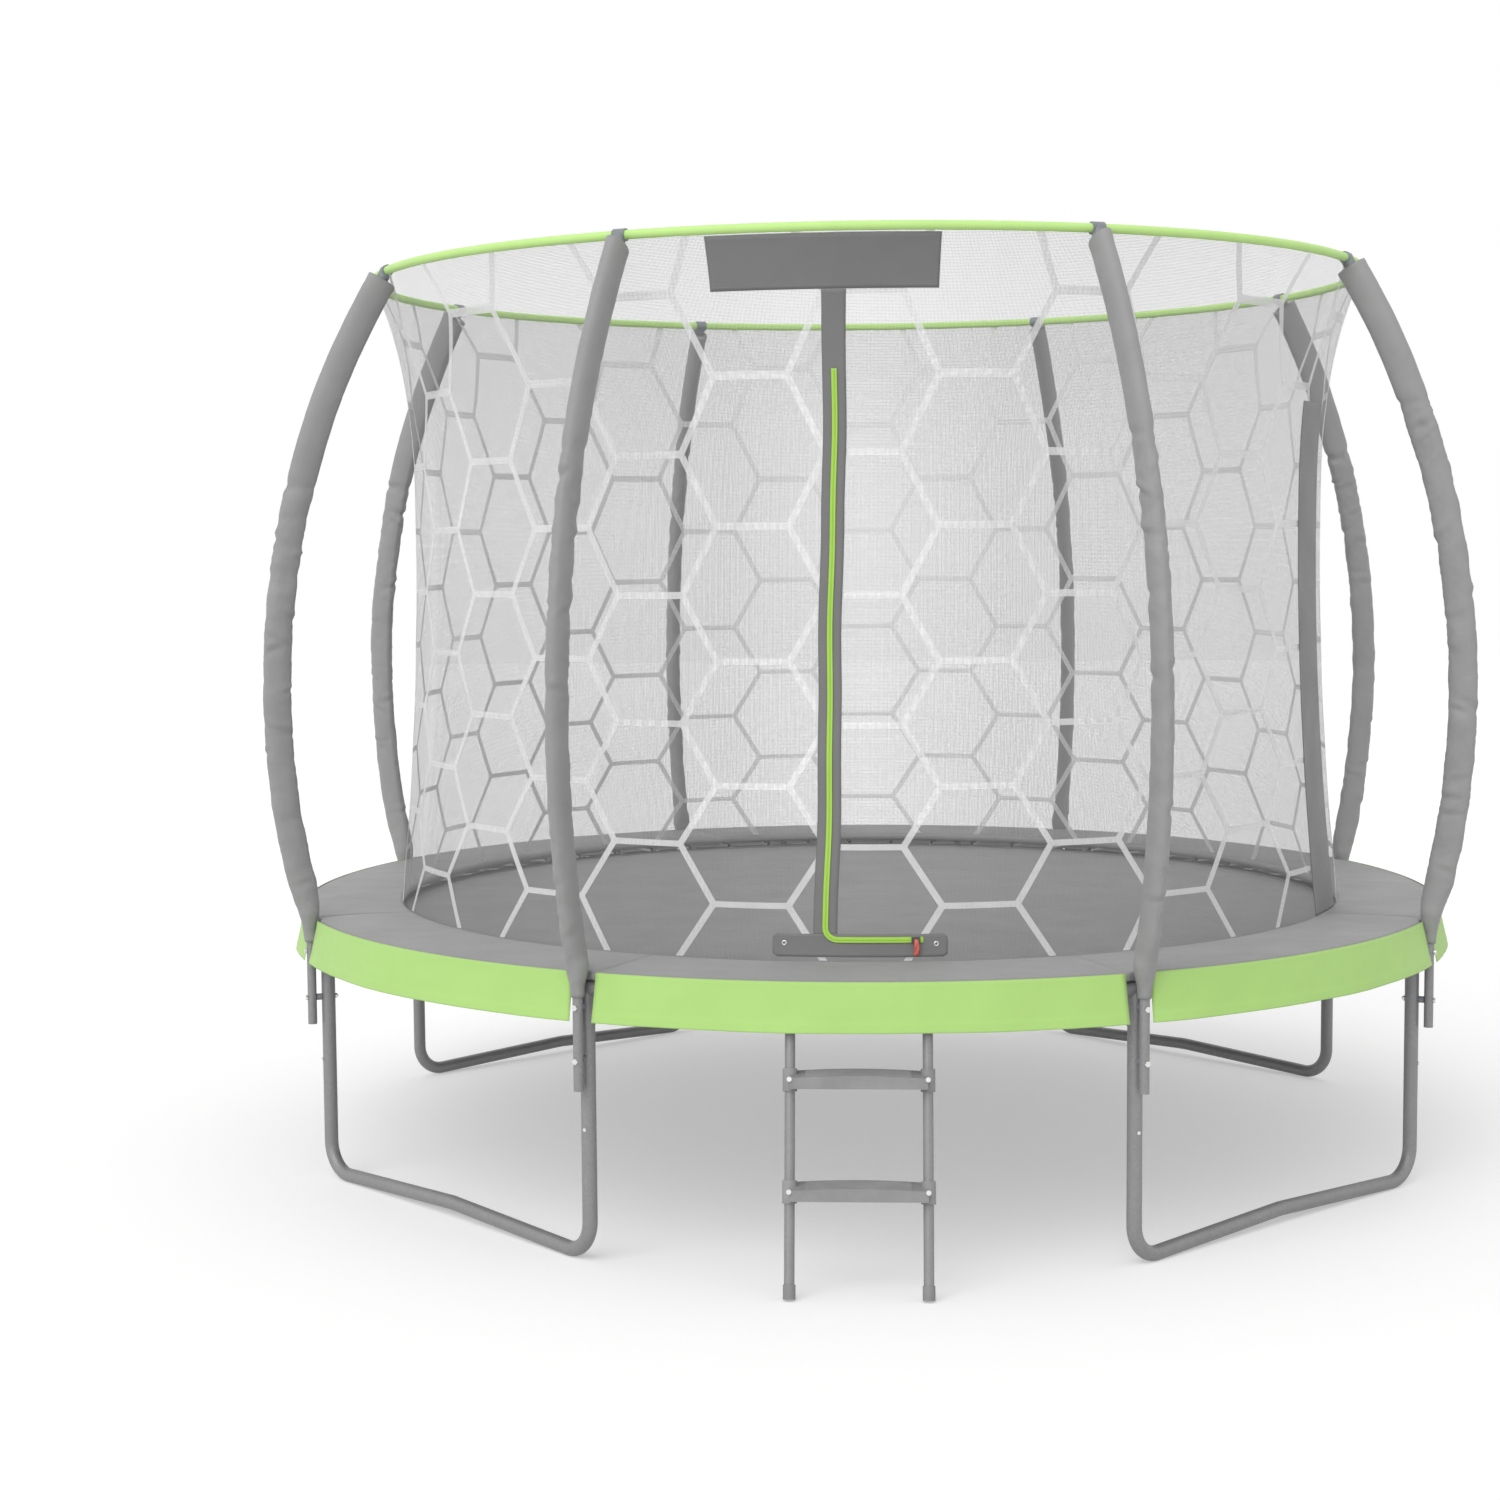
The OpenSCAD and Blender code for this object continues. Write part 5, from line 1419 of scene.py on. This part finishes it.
# %% [markdown]
# ## Light and floor
# The photograph is a catalogue picture: soft light from everywhere, a white background, and a pale
# floor that darkens under the mat. The world gives even light and looks white. One large soft sun
# from the upper front left shapes the tubes. A lamp on each side would do it too, but then the
# shadows would cross. The floor shows white where nothing shades it, and keeps the trampoline's
# soft shadow.
# %% World and sun
WORLD_LIGHT, FLOOR_GLOW = 0.72, 0.36


def level_where_seen(tree, hidden, seen):
    """One value where the camera, a reflection or a clear piece sees a surface, and another elsewhere."""
    path = tree.nodes.new("ShaderNodeLightPath")
    rays = path.outputs["Is Camera Ray"]
    for other in ("Is Glossy Ray", "Is Transmission Ray"):
        either = tree.nodes.new("ShaderNodeMath")
        either.operation = "MAXIMUM"
        tree.links.new(rays, either.inputs[0])
        tree.links.new(path.outputs[other], either.inputs[1])
        rays = either.outputs[0]
    level = tree.nodes.new("ShaderNodeMapRange")
    level.inputs["To Min"].default_value, level.inputs["To Max"].default_value = hidden, seen
    tree.links.new(rays, level.inputs["Value"])
    return level.outputs["Result"]


world = bpy.data.worlds.new("studio")
bpy.context.scene.world = world
world.use_nodes = True
tree = world.node_tree
background = tree.nodes["Background"]
background.inputs["Color"].default_value = (1, 1, 1, 1)
tree.links.new(level_where_seen(tree, WORLD_LIGHT, 1.0), background.inputs["Strength"])

sun_data = bpy.data.lights.new("soft_sun", "SUN")
sun_data.energy, sun_data.angle = 1.25, math.radians(50)
sun = bpy.data.objects.new("soft_sun", sun_data)
bpy.context.scene.collection.objects.link(sun)
sun.rotation_euler = (math.radians(48), math.radians(-12), math.radians(-17))

# %% [markdown]
# ### The floor
# The floor is one large plain plane. If it glowed for everything, its light would reach the
# trampoline from below. So the camera and reflections see the glow, and the rest is lit by the
# floor's own colour.
# %% Floor
floor_mat = bpy.data.materials.new("pale_floor")
floor_mat.use_nodes = True
tree = floor_mat.node_tree
shader = tree.nodes["Principled BSDF"]
for socket, value in (("Base Color", (0.70, 0.70, 0.70, 1)), ("Roughness", 0.9),
                      ("Specular IOR Level", 0.1), ("Emission Color", (1, 1, 1, 1))):
    shader.inputs[socket].default_value = value
tree.links.new(level_where_seen(tree, 0.0, FLOOR_GLOW), shader.inputs["Emission Strength"])
bpy.ops.mesh.primitive_plane_add(size=60, location=(0, 0, 0))
floor = bpy.context.object
floor.name = "floor"
floor.data.materials.append(floor_mat)
print("lights:", sun.name, "floor:", floor.name)


# %% [markdown]
# ## Measure the result
# The notebook ends by measuring itself. It prints how far each named feature shows from its point
# in the photograph.
# %% Where things show
def shown_pixels(piece, near=None, reach=0.02):
    """Pixels of the piece's vertices that face the camera, and lie near a place where one is given."""
    bpy.context.view_layer.update()
    mesh = piece.evaluated_get(bpy.context.evaluated_depsgraph_get()).to_mesh()
    count = len(mesh.vertices)
    points, normals = np.empty(count * 3), np.empty(count * 3)
    mesh.vertices.foreach_get("co", points)
    mesh.vertices.foreach_get("normal", normals)
    m = np.array(piece.matrix_world)
    points = points.reshape(-1, 3) @ m[:3, :3].T + m[:3, 3]
    normals = normals.reshape(-1, 3) @ m[:3, :3].T
    facing = ((points - np.array(camera.matrix_world.translation)) * normals).sum(1) < 0
    if near is not None:
        facing &= np.linalg.norm(points - np.array(near), axis=1) < reach
    return to_pixels(points[facing])


def middle(pixels):
    return (pixels.min(0) + pixels.max(0)) / 2


# %% Compare with the named points
HIGH_TREAD_Z = 0.5
ZIP_HALF_PIXELS = 3.0                      # half the tape's width as it shows in the photograph


def comb_joint(row, column):
    angle, z = comb_angle + joint_turn(column), np.polyval(row_fit, row)
    return to_pixels(net_points(np.array([angle]), np.array([z])))[0]


def rivet_middle(side):
    near = (side * LADDER_HALF, ladder_y(HIGH_TREAD_Z) - 0.015, HIGH_TREAD_Z)
    return middle(shown_pixels(nodes["ladder_rivets"], near, 0.03))


def zip_corner_middle():
    """The middle of the tape at its corner, from its outer edges at the left and at the foot."""
    row = shown_pixels(zip_tape, net_points(DOOR_ANGLE, ZIP_RUN_Z), 0.05)
    return np.array([row[:, 0].min() + ZIP_HALF_PIXELS, row[:, 1].max() - ZIP_HALF_PIXELS])


def measured():
    """How far each edge and feature shows from its point."""
    shown = [shown_pixels(o) for o in bpy.context.scene.objects
             if o.type == "MESH" and o.name != "floor" and not o.hide_render]
    pixels = np.concatenate([p for p in shown if len(p)])
    return {
        "left": [pixels[:, 0].min() - EDGES["left"], 0],
        "right": [pixels[:, 0].max() - EDGES["right"], 0],
        "top": [0, pixels[:, 1].min() - EDGES["top"]],
        "bottom": [0, pixels[:, 1].max() - EDGES["bottom"]],
        "banner": middle(shown_pixels(banner)) - POINTS["banner"],
        "zip_pull": middle(shown_pixels(zip_pull)) - POINTS["zip_pull"],
        "zip_corner": zip_corner_middle() - POINTS["zip_corner"],
        "eyelet_left": middle(shown_pixels(eyelets[0])) - POINTS["eyelet_left"],
        "eyelet_right": middle(shown_pixels(eyelets[1])) - POINTS["eyelet_right"],
        **{p: comb_joint(*joint) - POINTS[p] for p, joint in COMB_JOINTS.items()},
        "rivet_high_left": rivet_middle(-1) - POINTS["rivet_high_left"],
        "rivet_high_right": rivet_middle(1) - POINTS["rivet_high_right"],
        "tread_high": middle(shown_pixels(nodes["ladder_treads"], (0, -1.69, 0.51), 0.19))
        - POINTS["tread_high"],
        "cap_right": middle(shown_pixels(nodes["pole_caps"], around(STATIONS[1], RING_R, RING_Z), 0.12))
        - POINTS["cap_right"],
    }


off_by = {name: [round(float(v), 1) for v in miss] for name, miss in measured().items()}
for name, miss in off_by.items():
    print(name, miss)
